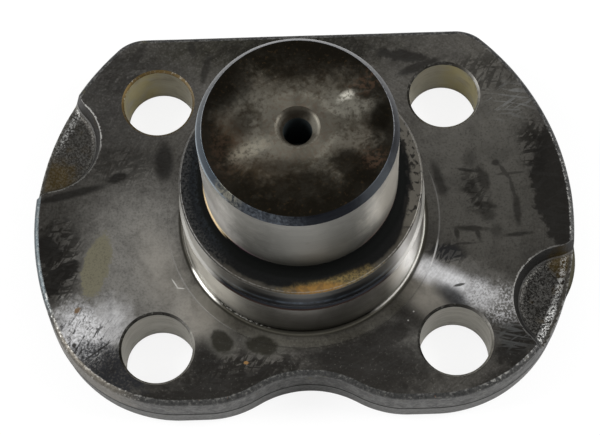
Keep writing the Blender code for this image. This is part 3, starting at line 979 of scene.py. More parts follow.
    halo = face.spots(
        (-20, -30.5, 4.4, 3.6, -50, 0.8, 0.3),
        (-10, -31.5, 5.4, 3.6, -12, 0.8, 0.3),
    )
    face.lay(halo, 0.32, (0.1, 0.097, 0.085), 0.42)
    radius = face.at["Radius"]
    collar = face.times(face.band(radius, 30.5, 33, 0.8), face.below(face.at["Y"], -24, -14))
    face.lay(face.times(collar, crisp), 0.4, (0.085, 0.08, 0.064), 0.46)
    stains = face.spots(
        (-20, -30.8, 3, 2.3, -50, 0.8, 0.2),
        (-10.4, -32, 3.9, 2.3, -12, 0.8, 0.2),
        (36.9, -18.2, 1.5, 0.34, 12, 1.2, 0.3),
        (-55.2, -30.7, 0.55, 0.5, 0, 1, 0.3),
    )
    face.lay(stains, 0.88, (0.018, 0.017, 0.013), 0.38)
    front = face.below(face.at["Y"], -36, -20)
    face.lay(face.times(face.between(grain, 0.6, 0.72), front), 0.45, (0.1, 0.096, 0.085))
    boss = BOSS_RADIUS / MM
    flecks = face.between(face.fine, 0.5, 0.56)
    seam = face.below(radius, boss + 0.1, boss + 0.4)
    curve = face.below(radius, boss + 0.6, boss + 1.1)
    wider = face.below(radius, boss + 0.2, boss + 0.6)
    glint = face.most(
        face.times(seam, face.spot(-28, -8, 5, 11, 12, 0.6, 0.4)),
        face.times(curve, face.spot(-24, -16.6, 2.4, 4.4, 38, 0.6, 0.5)),
        face.times(seam, face.spot(-17, -24, 10, 5, -42, 0.6, 0.4), flecks, 0.7),
        face.times(wider, face.spot(27, -13, 6, 17, -24, 0.6, 0.4)),
    )
    foot = face.below(radius, boss + 1.1, boss + 1.6)
    face.lay(foot, 0.9, (0.03, 0.028, 0.022), 0.55)
    face.lay(glint, 0.9, (0.88, 0.86, 0.8), 0.3)
    land = face.band(radius, LAND_RADIUS / MM - 0.15, LAND_RADIUS / MM + 0.2, 0.12)
    face.lay(land, 0.2, (0.022, 0.02, 0.018), 0.4)
    lit = face.spots(
        (31.2, -10.2, 2.4, 3.6, -18, 0.3, 0.5, 0.55),
        (33, -1, 3, 12, 0, 0.3, 0.6, 0.1),
        (-27.5, -17.5, 6, 12, 36, 1, 0.7, 0.14),
    )
    face.lay(face.times(land, lit), 0.85, (0.75, 0.74, 0.72), 0.3)
    dried = face.mark((-50.3, -11, face.level), (8, 3.2, 4), 77, 1.6, 0.14, face.blend(face.ragged, grain))
    face.lay(dried, 0.92, (0.13, 0.12, 0.078), 0.62, 0.35)
    face.lay(face.times(dried, face.between(grain, 0.48, 0.62)), 0.5, (0.06, 0.055, 0.036))
    rust = face.most(
        face.mark((-54.6, -22.1, face.level), (0.9, 0.6, 4), 40, 2, 0.3, face.fine),
        face.mark((-14.3, -36.3, face.level), (0.6, 0.4, 4), 0, 2, 0.3, face.fine),
    )
    face.lay(rust, 0.85, (0.16, 0.08, 0.015), 0.75, 0.2)
    wisps = face.times(
        face.most(face.strokes(10, 9, 1.2, 0.5, (0, 50, 0)), face.strokes(-30, 7, 1, 0.44, (9, 21, 0))),
        face.most(face.spot(52, 30, 6, 4, 0, 1.4, 0.6), face.spot(50, -31, 5, 3.6, 0, 1.4, 0.6, 0.7), 0.05),
    )
    face.lay(wisps, 0.35, (0.17, 0.175, 0.175), 0.38)
    gouges = face.times(
        face.most(face.strokes(-62, 3, 0.7, 0.42, (70, 5, 0)), face.between(face.fine, 0.62, 0.68)),
        face.spot(-53, -31, 9, 8, -30, 1.4, 0.5),
    )
    gouges = face.most(gouges, face.spot(-49.6, -32.4, 4.2, 0.22, 36, 0.4, 0.3))
    face.lay(gouges, 0.85, BLACK_OIL, 0.4)
    scratch = face.spots(
        (-31.2, -15.9, 1.4, 0.16, -58, 0.15, 0.3),
        (-29.9, -17.1, 1, 0.16, -8, 0.15, 0.3),
        (-50, -34, 3, 0.12, 40, 0.6, 0.3, 0.3),
        (25.8, -24.6, 0.2, 0.2, 0, 0.6, 0.3, 0.7),
        (24.4, -26.8, 0.2, 0.2, 0, 0.6, 0.3, 0.6),
    )
    face.lay(scratch, 0.6, WORN_BRIGHT, 0.25)
    rim = rim_distance(face)
    sides = face.most(
        face.spot(-58, -24, 9, 15, -20, 0.6, 0.4),
        face.spot(-47, -41, 10, 5, -36, 0.6, 0.4, 0.8),
        face.spot(63, 8, 6, 16, 0, 0.6, 0.3, 0.6),
        0.12,
    )
    mouth = face.spots((-51, 29, 4, 9, 18, 0.6, 0.4), (52, -17, 3, 9, -10, 0.6, 0.5, 0.8))
    mouth = face.most(mouth, 0.3)
    flecked = face.times(specks, face.between(face.fine, 0.48, 0.58))
    edges = face.most(
        face.times(face.worn(face.past(rim, 1.35), 0.3), sides, flecked),
        face.times(face.worn(recess_distance(face), 0.34), mouth),
    )
    face.lay(edges, 0.48, WORN_BRIGHT, 0.28, 1)
    normal = face.bumps((lines, 0.002), (grain, 0.004), (rubbed, 0.001))
    return face.done(normal, 0.78)


def forged_edge(effects):
    """The drawn sides of the forging: paler below the parting line, rubbed bright along the face."""
    edge = Finish("Forged edge", effects, FLANGE_THICKNESS / MM)
    z = edge.at["Height"]
    skin = edge.skin(1.1)
    grain = edge.mottle(0.7, 4, 0.7)
    edge.base(skin["Tone"], (0.024, 0.0235, 0.022), (0.056, 0.055, 0.052), 0.5, 0.42)
    edge.dull(0.8)
    smears = edge.film((6, 6, 3), 0.42, 0.08, (5, 0, 0))
    edge.lay(smears, 0.4, (0.011, 0.0105, 0.0095), 0.38)
    lower = edge.below(z, 6.2, 6.8)
    edge.lay(lower, 0.7, (0.088, 0.087, 0.083), 0.5)
    corner = edge.between(z, 13.5, 14.3)
    edge.lay(corner, 0.6, (0.04, 0.0405, 0.0405), 0.45)
    # painted sheen on the rounded upper corner at the far left
    far_left = edge.mark((-64, -4, 14), (6, 18, 6), 0, 0.8, 0.4)
    edge.lay(edge.times(corner, far_left), 0.7, (0.1, 0.12, 0.13), 0.4)
    scaly = edge.mark((-52, -35, 10), (14, 14, 10), 0, 0.8, 0.4)
    edge.lay(edge.times(scaly, edge.between(z, 7.8, 8.6)), 0.6, (0.15, 0.135, 0.112), 0.5)
    edge.lay(edge.between(grain, 0.5, 0.66), 0.35, (0.12, 0.116, 0.105), 0.42)
    edge.lay(edge.between(grain, 0.5, 0.36), 0.45, (0.01, 0.0098, 0.009), 0.5)
    # dark parting line: dirt along the trimmed flash, and painted shade under the die step
    parting = edge.band(z, 6.35, 7.8, 0.3)
    edge.lay(parting, 0.95, (0.004, 0.004, 0.0035), 0.8, 0)
    foot = edge.below(z, 0.2, 1)
    edge.lay(foot, 0.6, (0.04, 0.039, 0.036), 0.45)
    olive = edge.most(
        edge.mark((66, -12, 9), (3, 7, 2.5), -11, 1.2, 0.3),
        edge.film((5, 5, 5), 0.12, 0.05, (31, 4, 9)),
    )
    edge.lay(olive, 0.45, (0.09, 0.082, 0.05), 0.55, 0.6)
    sides = edge.most(
        edge.spot(-58, -24, 9, 15, -20, 0.6, 0.4, 0.9),
        edge.spot(-47, -41, 10, 5, -36, 0.6, 0.4, 0.7),
        edge.spot(63, 8, 6, 16, 0, 0.6, 0.3, 0.7),
        edge.spot(50, -41, 10, 6, 38, 0.8, 0.4, 0.6),
        0.16,
    )
    worn = edge.times(edge.worn(edge.past(z, FLANGE_THICKNESS / MM), 0.06), sides)
    worn = edge.times(worn, edge.between(edge.fine, 0.46, 0.58))
    nicks = edge.times(edge.between(edge.fine, 0.58, 0.66), corner, sides)
    edge.lay(edge.most(worn, nicks), 0.34, WORN_BRIGHT, 0.3)
    edge.lay(edge.film((1.2, 1.2, 1.2), 0.04, 0.02, (2, 2, 8)), 0.5, RUST, 0.7, 0.1)
    return edge.done(edge.bumps((skin["Height"], 0.07), (edge.fine, 0.015)))


def forged_recess(effects):
    """The half-moons as the dies left them: smooth sloping walls round a rough, grimy floor."""
    recess = Finish("Forged recess", effects, (FLANGE_THICKNESS - RECESS_DEPTH) / MM)
    z = recess.at["Height"]
    radius = recess.at["Radius"]
    skin = recess.skin(0.6)
    grit = recess.mottle(0.5, 6, 0.75)
    gritty = recess.between(grit, 0.36, 0.64)
    recess.colour = tint(recess.tree, gritty, (0.006, 0.0058, 0.0052), (0.038, 0.0365, 0.033))
    recess.roughness = shift(recess.tree, skin["Tone"], 0.5, 0.4)
    wall = recess.between(z, recess.level + 0.9, recess.level + 1.7)
    recess.lay(wall, 0.85, (0.03, 0.0295, 0.029), 0.5)
    # painted reflection: the left recess lighter, its wall most
    on_left = recess.below(recess.at["X"], -10, 10)
    recess.lay(on_left, 0.45, (0.034, 0.032, 0.028))
    recess.lay(recess.times(wall, on_left), 0.7, (0.065, 0.063, 0.062), 0.6)
    grime = recess.most(
        recess.mark((-61, 14, 11), (4.8, 4.5, 4), 20, 1.6, 0.5),
        recess.mark((62, -11.5, 11), (2.6, 3.6, 4), 0, 1.6, 0.5),
        recess.times(recess.film((4, 4, 4), 0.22, 0.08, (8, 1, 0)), 0.5),
    )
    recess.lay(grime, 0.8, (0.032, 0.021, 0.004), 0.5, 0.9)
    on_floor = recess.below(z, recess.level + 0.6, recess.level + 1.1)
    strip = recess.band(radius, 63.1, 64.6, 0.6)
    shine = recess.most(
        recess.times(strip, recess.mark((57.2, -28.8, 10.8), (5, 7, 3), 0, 0.8, 0.6)),
        recess.times(strip, recess.mark((61.6, -16, 10.8), (4, 9, 3), 0, 1.2, 0.6), 0.36),
        recess.times(recess.mark((-59, 27, 10.8), (8, 1.6, 3), 62, 1.5, 0.6), 0.35),
        0.03,
    )
    sparkle = recess.times(recess.between(grit, 0.46, 0.58), shine, on_floor)
    recess.lay(sparkle, 0.92, (0.72, 0.72, 0.7), 0.3)
    verge = recess.times(recess.between(radius, 64.6, 65.2), on_floor)
    recess.lay(verge, 0.8, (0.035, 0.033, 0.028), 0.5)
    chip = recess.mark((50, -36.5, 12), (3.4, 2.6, 4), 20, 1.8, 0.5)
    recess.lay(chip, 0.6, (0.3, 0.295, 0.285), 0.4)
    # painted highlight along the bend from wall to floor, strongest in the left recess
    bend = recess.band(z, recess.level + 0.5, recess.level + 0.9, 0.22)
    recess.lay(recess.times(bend, recess.most(on_left, 0.45)), 0.65, (0.2, 0.196, 0.19), 0.5)
    top = recess.worn(recess.past(z, FLANGE_THICKNESS / MM), 0.2)
    mouth = recess.most(
        recess.mark((-51, 29, 15), (4, 9, 5), 18, 0.6, 0.4),
        recess.mark((52, -17, 15), (4, 9, 5), -10, 0.6, 0.5),
        0.15,
    )
    rim = recess.times(recess.worn(rim_distance(recess), 0.6), on_floor)
    worn = recess.most(recess.times(top, mouth), recess.times(rim, 0.25))
    recess.lay(worn, 0.7, WORN_BRIGHT, 0.28)
    return recess.done(recess.bumps((skin["Height"], 0.08), (grit, 0.05)))


def bolt_hole_bore(effects):
    bore = Finish("Bolt hole bore", effects)
    z = bore.at["Height"]
    rings = node(bore.tree, "CombineXYZ", {"X": bore.times(bore.at["X"], 0.05), "Z": z}).outputs[0]
    lines = bore.between(mottle(bore.tree, rings, 0.5, 4, 0.7), 0.35, 0.65)
    bore.base(lines, (0.42, 0.41, 0.375), (0.56, 0.545, 0.51), 0.5, 0.42)
    rear = bore.between(bore.at["Y"], 10, 22)
    outer = bore.between(bore.calc("ABSOLUTE", bore.at["X"]), 33, 39)
    cloud = bore.film((6, 6, 6), 0.7, 0.15, (1, 0, 3))
    bore.lay(rear, 0.6, (0.34, 0.32, 0.25), 0.5)
    bore.lay(bore.times(rear, outer, cloud), 0.75, (0.4, 0.35, 0.17), 0.5, 0.7)
    bore.lay(bore.film((5, 5, 2.5), 0.22, 0.08, (0, 44, 0)), 0.4, (0.16, 0.14, 0.1), 0.4)
    bore.lay(bore.below(z, 0.5, 2.5), 0.6, (0.22, 0.21, 0.19), 0.5)
    return bore.done(bore.bumps((lines, 0.006), (bore.fine, 0.008)))


def bolt_hole_chamfer(effects):
    """The broken edges of the bolt holes: dark above and paler below, as painted shade and light, brown with
    old oil in one.
    """
    chamfer = Finish("Bolt hole chamfer", effects)
    patches = chamfer.between(chamfer.ragged, 0.4, 0.6)
    side_x = chamfer.times(chamfer.calc("SIGN", chamfer.at["X"]), BOLT_X / MM)
    side_y = chamfer.times(chamfer.calc("SIGN", chamfer.at["Y"]), BOLT_Y / MM)
    across = chamfer.past(chamfer.at["X"], side_x)
    along = chamfer.past(chamfer.at["Y"], side_y)
    # painted shade towards the upper left and painted light towards the lower right of each hole
    lower = chamfer.between(chamfer.past(across, along), -7, 9)
    chamfer.colour = tint(chamfer.tree, lower, (0.018, 0.017, 0.015), (0.32, 0.31, 0.285))
    chamfer.lay(patches, 0.4, (0.06, 0.058, 0.053))
    chamfer.roughness = 0.38
    brown = chamfer.mark((-35.5, 32, 15), (14, 12, 5), 0, 0.5, 0.4)
    chamfer.lay(brown, 0.8, (0.125, 0.085, 0.032), 0.45)
    flecks = chamfer.times(chamfer.between(chamfer.fine, 0.56, 0.66), chamfer.most(lower, brown, 0.3))
    chamfer.lay(flecks, 0.55, (0.45, 0.44, 0.4), 0.28)
    return chamfer.done(chamfer.bumps((chamfer.ragged, 0.03)))


def register_boss(effects):
    """Turned register: satin steel, oily, with painted shade towards the notch and painted highlights at its
    left and right.
    """
    boss = Finish("Register boss", effects)
    z = boss.at["Height"]
    lines = boss.lines(0.5, 0.02)
    boss.base(lines, (0.25, 0.24, 0.22), (0.36, 0.35, 0.325), 0.42, 0.36)
    # painted shade on the front, between the side highlights
    front = boss.mark((6, -30, 22), (18, 9, 14), 0, 0.8, 0.6)
    boss.lay(front, 0.78, (0.108, 0.102, 0.088), 0.42)
    # painted highlight on the left
    left = boss.mark((-22.5, -17.5, 23), (10, 10, 15), 0, 0.4, 0.8)
    boss.lay(left, 0.44, (0.8, 0.78, 0.71), 0.55, 0.5)
    # painted highlight on the right
    right = boss.mark((25.1, -14.5, 24), (6, 6.5, 16), 0, 0.3, 0.6)
    boss.lay(right, 0.75, (0.88, 0.86, 0.82), 0.45, 0.6)
    boss.lay(boss.film((5, 5, 9), 0.3, 0.1, (4, 0, 1)), 0.25, BROWN_OIL, 0.38)
    towards_notch = boss.below(boss.at["Y"], -22, -18)
    step = boss.times(boss.between(z, 30.2, 30.4), towards_notch)
    boss.lay(step, 0.7, (0.02, 0.014, 0.01), 0.45)
    base = boss.below(z, 16.2, 18)
    boss.lay(boss.times(base, front), 0.6, (0.055, 0.05, 0.032), 0.45)
    return boss.done(boss.bumps((lines, 0.003), (boss.fine, 0.004)), 0.35)


def blued_neck(effects):
    """The neck: blue-black from heat and oil towards the notch, paler towards its sides, with painted
    highlights at its left and right.
    """
    neck = Finish("Blued neck", effects)
    z = neck.at["Height"]
    lines = neck.lines(0.6, 0.02)
    neck.base(lines, (0.01, 0.011, 0.013), (0.024, 0.027, 0.032), 0.36, 0.3)
    ring = neck.band(z, 33.2, 34.4, 0.5)
    neck.lay(neck.times(ring, neck.between(neck.ragged, 0.3, 0.6)), 0.85, (0.12, 0.155, 0.2), 0.36)
    upper = neck.between(z, 36.4, 37.6)
    neck.lay(upper, 0.75, (0.085, 0.082, 0.073), 0.42)
    seam = neck.below(z, 30.7, 30.9)
    neck.lay(seam, 0.9, (0.022, 0.012, 0.009), 0.45)
    reach = neck.calc("ADD", neck.at["Y"], neck.times(neck.ragged, 3))
    neck.lay(neck.between(reach, -20.5, -15.5), 0.85, (0.2, 0.195, 0.178), 0.42)
    # painted highlight on the left
    left = neck.mark((-25, -12.5, 35), (8, 10, 9), 0, 0.4, 0.35)
    neck.lay(left, 0.62, (0.44, 0.43, 0.4), 0.5, 0.6)
    # painted highlight on the right
    right = neck.mark((25.1, -14, 36), (5.5, 6.5, 14), 0, 0.3, 0.6)
    neck.lay(right, 0.5, (0.74, 0.72, 0.69), 0.45, 0.6)
    neck.lay(neck.worn(neck.past(z, 39.75), 0.25), 0.4, (0.12, 0.12, 0.115), 0.3)
    return neck.done(neck.bumps((lines, 0.003), (neck.fine, 0.004)), 0.35)


def bearing_shoulder(effects):
    """Fillet and shoulder: oil baked black, gold and rusty towards the notch, with a rubbed outer ring."""
    shoulder = Finish("Bearing shoulder", effects)
    radius = shoulder.at["Radius"]
    grain = shoulder.mottle(0.6, 4, 0.7)
    shoulder.colour = tint(shoulder.tree, grain, (0.004, 0.0042, 0.0042), (0.014, 0.0145, 0.0145))
    fillet = shoulder.below(radius, 24.2, 25.4)
    shoulder.roughness = shift(shoulder.tree, fillet, 0.55, 0.8)
    shoulder.lay(fillet, 0.8, (0.006, 0.0065, 0.006))
    # painted highlight in the gold of the heat tint, along the fillet's top on the left
    gold_line = shoulder.times(
        shoulder.below(radius, 22.6, 22.85),
        shoulder.mark((-20.5, -8.5, 42), (5, 10, 6), -30, 0.4, 0.4),
    )
    shoulder.lay(gold_line, 0.9, (1, 0.78, 0.46), 0.4, 0.3)
    right = shoulder.mark((27, 3, 40), (6, 19, 4), 0, 0.8, 0.4)
    left = shoulder.mark((-25, -4, 40), (9, 20, 4), 0, 0.4, 0.4)
    reach = shoulder.calc("ADD", radius, shoulder.times(shoulder.ragged, 1.6))
    reach = shoulder.calc("ADD", reach, shoulder.times(right, 1.6))
    reach = shoulder.past(reach, shoulder.times(left, 0.7))
    rubbed = shoulder.between(reach, 27.4, 28.3)
    shoulder.lay(rubbed, 0.8, (0.06, 0.055, 0.046), 0.5)
    shoulder.lay(shoulder.times(right, rubbed), 0.75, (0.105, 0.098, 0.084), 0.5)
    rust = shoulder.times(
        shoulder.mark((8, -26.2, 40), (15, 2.6, 4), 13, 1.8, 0.5),
        shoulder.between(reach, 25.6, 27),
    )
    ochre = shoulder.mark((2.5, -27.2, 40), (6, 1.3, 4), 4, 1.6, 0.5)
    crumbs = shoulder.between(grain, 0.38, 0.62)
    gold = tint(shoulder.tree, crumbs, (0.04, 0.029, 0.008), (0.155, 0.108, 0.032))
    gold = tint(shoulder.tree, shoulder.times(ochre, 0.8), gold, (0.2, 0.098, 0.012))
    shoulder.lay(rust, 0.85, gold, 0.6, 0.45)
    grit = shoulder.times(shoulder.between(grain, 0.52, 0.64), shoulder.between(radius, 25.2, 27), left)
    shoulder.lay(grit, 0.8, (0.08, 0.062, 0.04), 0.5)
    oily = shoulder.times(shoulder.between(grain, 0.4, 0.62), shoulder.between(reach, 25.6, 27.2), left)
    shoulder.lay(oily, 0.75, (0.062, 0.06, 0.056), 0.45)
    cool = shoulder.times(shoulder.between(radius, 23.6, 24.6), shoulder.between(grain, 0.36, 0.6), left)
    shoulder.lay(cool, 0.5, (0.02, 0.024, 0.029), 0.5)
    specks = shoulder.times(
        shoulder.film((1.8, 1.8, 1.8), 0.4, 0.04, (1, 7, 0)),
        shoulder.between(reach, 26.5, 27.3),
        shoulder.most(right, 0.35),
    )
    shoulder.lay(specks, 0.9, BLACK_OIL, 0.35)
    edge = shoulder.worn(shoulder.past(radius, (NECK_RADIUS - SHOULDER_CHAMFER) / MM), 0.16)
    shoulder.lay(edge, 0.35, (0.2, 0.195, 0.185), 0.34)
    return shoulder.done(shoulder.bumps((grain, 0.01), (shoulder.ragged, 0.02)), 0.2)


def ground_pin(effects):
    """The ground journal: pale satin steel with hair-fine rings, tinted by heat at its foot; painted
    highlights at its left and right and along the foot, painted shade at its front.
    """
    pin = Finish("Ground pin", effects)
    z = pin.at["Height"]
    lines = pin.lines(0.35, 0.015)
    cloud = pin.film((7, 7, 6), 0.5, 0.2, (2, 2, 2))
    pin.base(lines, (0.26, 0.255, 0.235), (0.34, 0.335, 0.31), 0.44, 0.38)
    pin.lay(cloud, 0.45, (0.17, 0.167, 0.152), 0.42)
    # painted shade on the front, between the side highlights
    front = pin.mark((3, -23, 55), (15, 9, 20), 0, 0.8, 0.6)
    pin.lay(front, 0.7, (0.078, 0.077, 0.067), 0.44)
    # painted highlight on the left
    left = pin.mark((-20, -9, 54), (8, 9, 13), 0, 1.2, 0.5)
    pin.lay(left, 0.68, (0.72, 0.7, 0.67), 0.38)
    # painted highlight on the right
    right = pin.mark((19, -9, 55), (7, 9, 15), 0, 1, 0.6)
    pin.lay(right, 0.8, (0.82, 0.78, 0.7), 0.38)
    dull = pin.below(z, 43.5, 50)
    pin.lay(dull, 0.35, (0.13, 0.124, 0.1), 0.44)
    # painted highlight low on the left
    pin.lay(pin.mark((-19, -11, 46), (7, 9, 6), 0, 0.8, 0.5), 0.6, (0.56, 0.53, 0.49), 0.4, 0.4)
    # heat tint with a painted highlight on it along the pin's foot, gold on the left
    heat_tint_and_highlight = pin.mark((-18, -12, 43), (10, 14, 6), 0, 0.6, 0.4)
    tinted = tint(pin.tree, pin.between(pin.at["Y"], -17, -14.5), (0.2, 0.08, 0.13), (1, 0.8, 0.5))
    foot = pin.below(z, 42.8, 43.3)
    pin.lay(pin.times(foot, heat_tint_and_highlight), 0.95, tinted, 0.4, 0.1)
    warm = pin.mark((19, -9, 43), (7, 13, 6), 0, 0.6, 0.4)
    pin.lay(pin.times(foot, warm), 0.8, (0.22, 0.09, 0.07), 0.4, 0.3)
    pin.lay(pin.film((3, 3, 2), 0.08, 0.04, (6, 1, 5)), 0.3, (0.07, 0.062, 0.045), 0.4)
    top = pin.worn(pin.past(z, (PIN_END_HEIGHT - PIN_CHAMFER_HEIGHT) / MM), 0.3)
    pin.lay(top, 0.5, (0.06, 0.06, 0.065), 0.3)
    return pin.done(pin.bumps((lines, 0.0015), (pin.fine, 0.002)), 0.35)


def pin_chamfer(effects):
    """The pin's lead-in, blue-black, scuffed pale where the bearing was started, with painted sheen at its
    left and right.
    """
    chamfer = Finish("Pin chamfer", effects)
    lines = chamfer.lines(0.5, 0.03)
    grit = chamfer.mottle(0.8, 5, 0.7)
    chamfer.colour = tint(chamfer.tree, lines, (0.0055, 0.006, 0.0075), (0.014, 0.0155, 0.019))
    chamfer.roughness = shift(chamfer.tree, chamfer.ragged, 0.3, 0.45)
    # painted sheen on the left
    left = chamfer.mark((-19, -4, 68), (6, 13, 5), -10, 1, 0.5)
    chamfer.lay(left, 0.7, (0.048, 0.06, 0.072), 0.36)
    # painted sheen on the right
    right = chamfer.mark((16.5, -12, 68), (5, 6, 5), 0, 1, 0.6)
    chamfer.lay(right, 0.6, (0.06, 0.067, 0.075), 0.4)
    streak = chamfer.mark((-9, -19, 68), (9, 4, 4), -24, 1.4, 0.6)
    streak = chamfer.times(streak, chamfer.between(grit, 0.3, 0.7))
    chamfer.lay(streak, 0.6, (0.11, 0.125, 0.145), 0.4)
    scuff = chamfer.mark((-15.5, -15.5, 68), (3.4, 2.4, 4), -45, 1.6, 0.6)
    scuff = chamfer.times(scuff, chamfer.between(grit, 0.38, 0.6))
    chamfer.lay(scuff, 0.5, (0.22, 0.205, 0.15), 0.42)
    height = chamfer.at["Height"]
    outer = chamfer.below(height, 67.7, 68.1)
    # painted highlight along the chamfer's lower edge on the left
    chamfer.lay(chamfer.times(outer, left), 0.7, (0.26, 0.3, 0.33), 0.3)
    rear = chamfer.between(chamfer.at["Y"], -6, 2)
    crown = chamfer.worn(chamfer.past(height, PIN_END_HEIGHT / MM), 0.2)
    chamfer.lay(chamfer.times(crown, rear), 0.4, (0.35, 0.36, 0.37), 0.3)
    return chamfer.done(chamfer.bumps((lines, 0.003), (chamfer.ragged, 0.01)), 0.3)


def turned_pin_end(effects):
    """The faced end: satin round the centre hole, with a black, oily rim and rust specks."""
    end = Finish("Turned pin end", effects, PIN_END_HEIGHT / MM)
    radius = end.at["Radius"]
    lines = end.lines(0.45, 0.04)
    cloud = end.mottle(5.5, 7, 0.7, 0.4)
    grit = end.mottle(0.9, 5, 0.68)
    fans = end.fans(3.5)
    end.base(lines, (0.042, 0.037, 0.0285), (0.06, 0.0545, 0.0435), 0.42, 0.36)
    near = end.below(radius, 7.5, 12.5)
    end.lay(near, 0.5, (0.105, 0.098, 0.08))
    # painted highlights: the bow-tie wedges that a turned face shows
    painted_wedge_highlights = end.spots(
        (-11, -4.5, 8, 3.2, 26, 1, 0.7),
        (11, 3, 7, 5, 32, 1, 0.7),
        (13, -3, 7, 3, -16, 1.2, 0.7, 0.7),
        (-11, 4, 6, 5, -30, 1.2, 0.7, 0.5),
    )
    end.lay(painted_wedge_highlights, 0.62, (0.21, 0.2, 0.168), 0.36)
    ring = end.band(radius, 7.4, 8.7, 0.5)
    # painted sheen on the ring's right side
    painted_sheen_side = end.between(end.calc("ADD", end.at["X"], end.times(end.at["Y"], 0.4)), -4, 8)
    end.lay(end.times(ring, painted_sheen_side), 0.5, (0.21, 0.2, 0.165), 0.34)
    fanned = end.times(end.between(fans, 0.5, 0.8), end.between(radius, 6, 9))
    end.lay(fanned, 0.4, (0.03, 0.025, 0.018))
    end.lay(end.between(cloud, 0.44, 0.6), 0.62, (0.017, 0.013, 0.0075), 0.38)
    end.lay(end.between(grit, 0.5, 0.64), 0.5, (0.02, 0.0155, 0.01), 0.4)
    end.lay(end.between(grit, 0.46, 0.34), 0.25, (0.15, 0.138, 0.108), 0.4)
    brown = end.spots(
        (-15, -5, 5, 8, 0, 1.4, 0.7),
        (-8, -11, 7, 4, 0, 1.4, 0.7, 0.6),
        (14, -5, 5, 5, 0, 1.4, 0.7, 0.5),
    )
    end.lay(brown, 0.6, (0.034, 0.022, 0.012), 0.45)
    bowl = end.below(radius, 7, 9)
    end.lay(bowl, 0.5, (0.098, 0.091, 0.074))
    wander = end.times(end.past(cloud, 0.5), 16)
    reach = end.calc("ADD", radius, wander)
    rim = end.between(reach, 14.5, 19.5)
    end.lay(rim, 0.85, (0.007, 0.0062, 0.0045), 0.38)
    dark = end.spots(
        (1, -17, 15, 7, 0, 1.5, 0.45),
        (2, 17.5, 16, 6, 0, 1.5, 0.45),
        (12, -9.6, 5.4, 3.4, -28, 1.2, 0.3),
        (18.2, 1.5, 2, 4.4, -10, 1.2, 0.4),
        (-15.5, 10.5, 5, 7, -35, 1.5, 0.45),
        (-3, -9.5, 6, 2, 5, 1.8, 0.6, 0.6),
        (-12, 1.5, 2.5, 3, 0, 1.8, 0.5, 0.6),
    )
    end.lay(dark, 0.82, (0.0052, 0.0044, 0.003), 0.35)
    flecks = end.times(end.between(end.fine, 0.58, 0.7), end.between(reach, 9, 17))
    end.lay(flecks, 0.5, (0.03, 0.019, 0.0095), 0.5)
    sparkle = end.times(end.spot(11, 7.2, 2, 0.9, 32, 1.8, 0.7), end.between(grit, 0.34, 0.56))
    end.lay(sparkle, 0.85, (0.62, 0.6, 0.52), 0.28)
    # painted highlight on the lower left wedge
    pale = end.times(end.spot(-10.6, -5, 4.4, 1.5, 26, 1.6, 0.7), end.between(grit, 0.36, 0.58))
    end.lay(pale, 0.5, (0.33, 0.305, 0.24), 0.34)
    rust = end.times(
        end.most(
            end.spot(15.6, 10.2, 4.4, 2, 30, 1.8, 0.6),
            end.spot(16.8, -7.6, 2.6, 2.4, 0, 1.8, 0.6),
            end.spot(-15.5, -4, 3.5, 6, 0, 1.8, 0.7, 0.5),
            end.times(end.below(radius, 6, 11), 0.5),
        ),
        end.between(grit, 0.44, 0.6),
    )
    end.lay(rust, 0.42, (0.075, 0.041, 0.023), 0.6, 0.7)
    return end.done(end.bumps((lines, 0.004), (grit, 0.014)), 0.7)


def centre_hole(effects):
    """The centre hole: its mouth as pale as the end round it, with painted shade at its rear and left and a
    painted highlight on its right side.
    """
    hole = Finish("Centre hole", effects, PIN_END_HEIGHT / MM)
    lines = hole.lines(0.6, 0.05)
    grit = hole.mottle(0.9, 5, 0.68)
    hole.colour = tint(hole.tree, lines, (0.02, 0.025, 0.027), (0.035, 0.042, 0.043))
    pitted = hole.between(grit, 0.46, 0.62, 0, 0.6)
    mouth = tint(hole.tree, pitted, (0.095, 0.087, 0.07), (0.04, 0.032, 0.022))
    # painted shade on the rear of the cone
    rear = hole.spot(0, 4.3, 4.4, 1.9, 0, 0.4, 0.5)
    mouth = tint(hole.tree, hole.times(rear, 0.85), mouth, (0.014, 0.0115, 0.008))
    # painted shade on the left of the cone's inner part
    inner = hole.below(hole.at["Radius"], 3.6, 4.3)
    far_left = hole.below(hole.at["X"], -1, 2.5)
    mouth = tint(hole.tree, hole.times(inner, far_left, 0.8), mouth, (0.016, 0.012, 0.008))
    # painted highlight on the cone's right side
    rubbed = hole.spot(3.9, 0.8, 1, 2, 15, 0.4, 0.6)
    mouth = tint(hole.tree, hole.times(rubbed, 0.7), mouth, (0.19, 0.18, 0.15))
    hole.lay(hole.between(hole.at["Height"], hole.level - 2.5, hole.level - 2.2), 1, mouth)
    hole.roughness = 0.5
    hole.dull(0.45)
    return hole.done(hole.bumps((lines, 0.006), (grit, 0.02)))


def back_face(effects):
    """Faced flat, dull from storage."""
    back = Finish("Back face", effects)
    lines = back.lines(0.7, 0.03)
    back.base(lines, (0.075, 0.072, 0.067), (0.125, 0.12, 0.113), 0.46, 0.38)
    back.lay(back.film((10, 10, 10), 0.4, 0.12, (5, 5, 0)), 0.6, (0.035, 0.032, 0.028), 0.38)
    back.lay(back.strokes(20, 10, 1, 0.34), 0.5, BLACK_OIL, 0.36)
    back.lay(back.film((3, 3, 3), 0.12, 0.03, (8, 40, 0)), 0.6, RUST, 0.7, 0.1)
    edges = back.worn(back.past(bolt_hole_distance(back), 0.8), 0.5)
    back.lay(edges, 0.7, WORN_BRIGHT, 0.3)
    return back.done(back.bumps((lines, 0.005), (back.fine, 0.006)), 0.5)


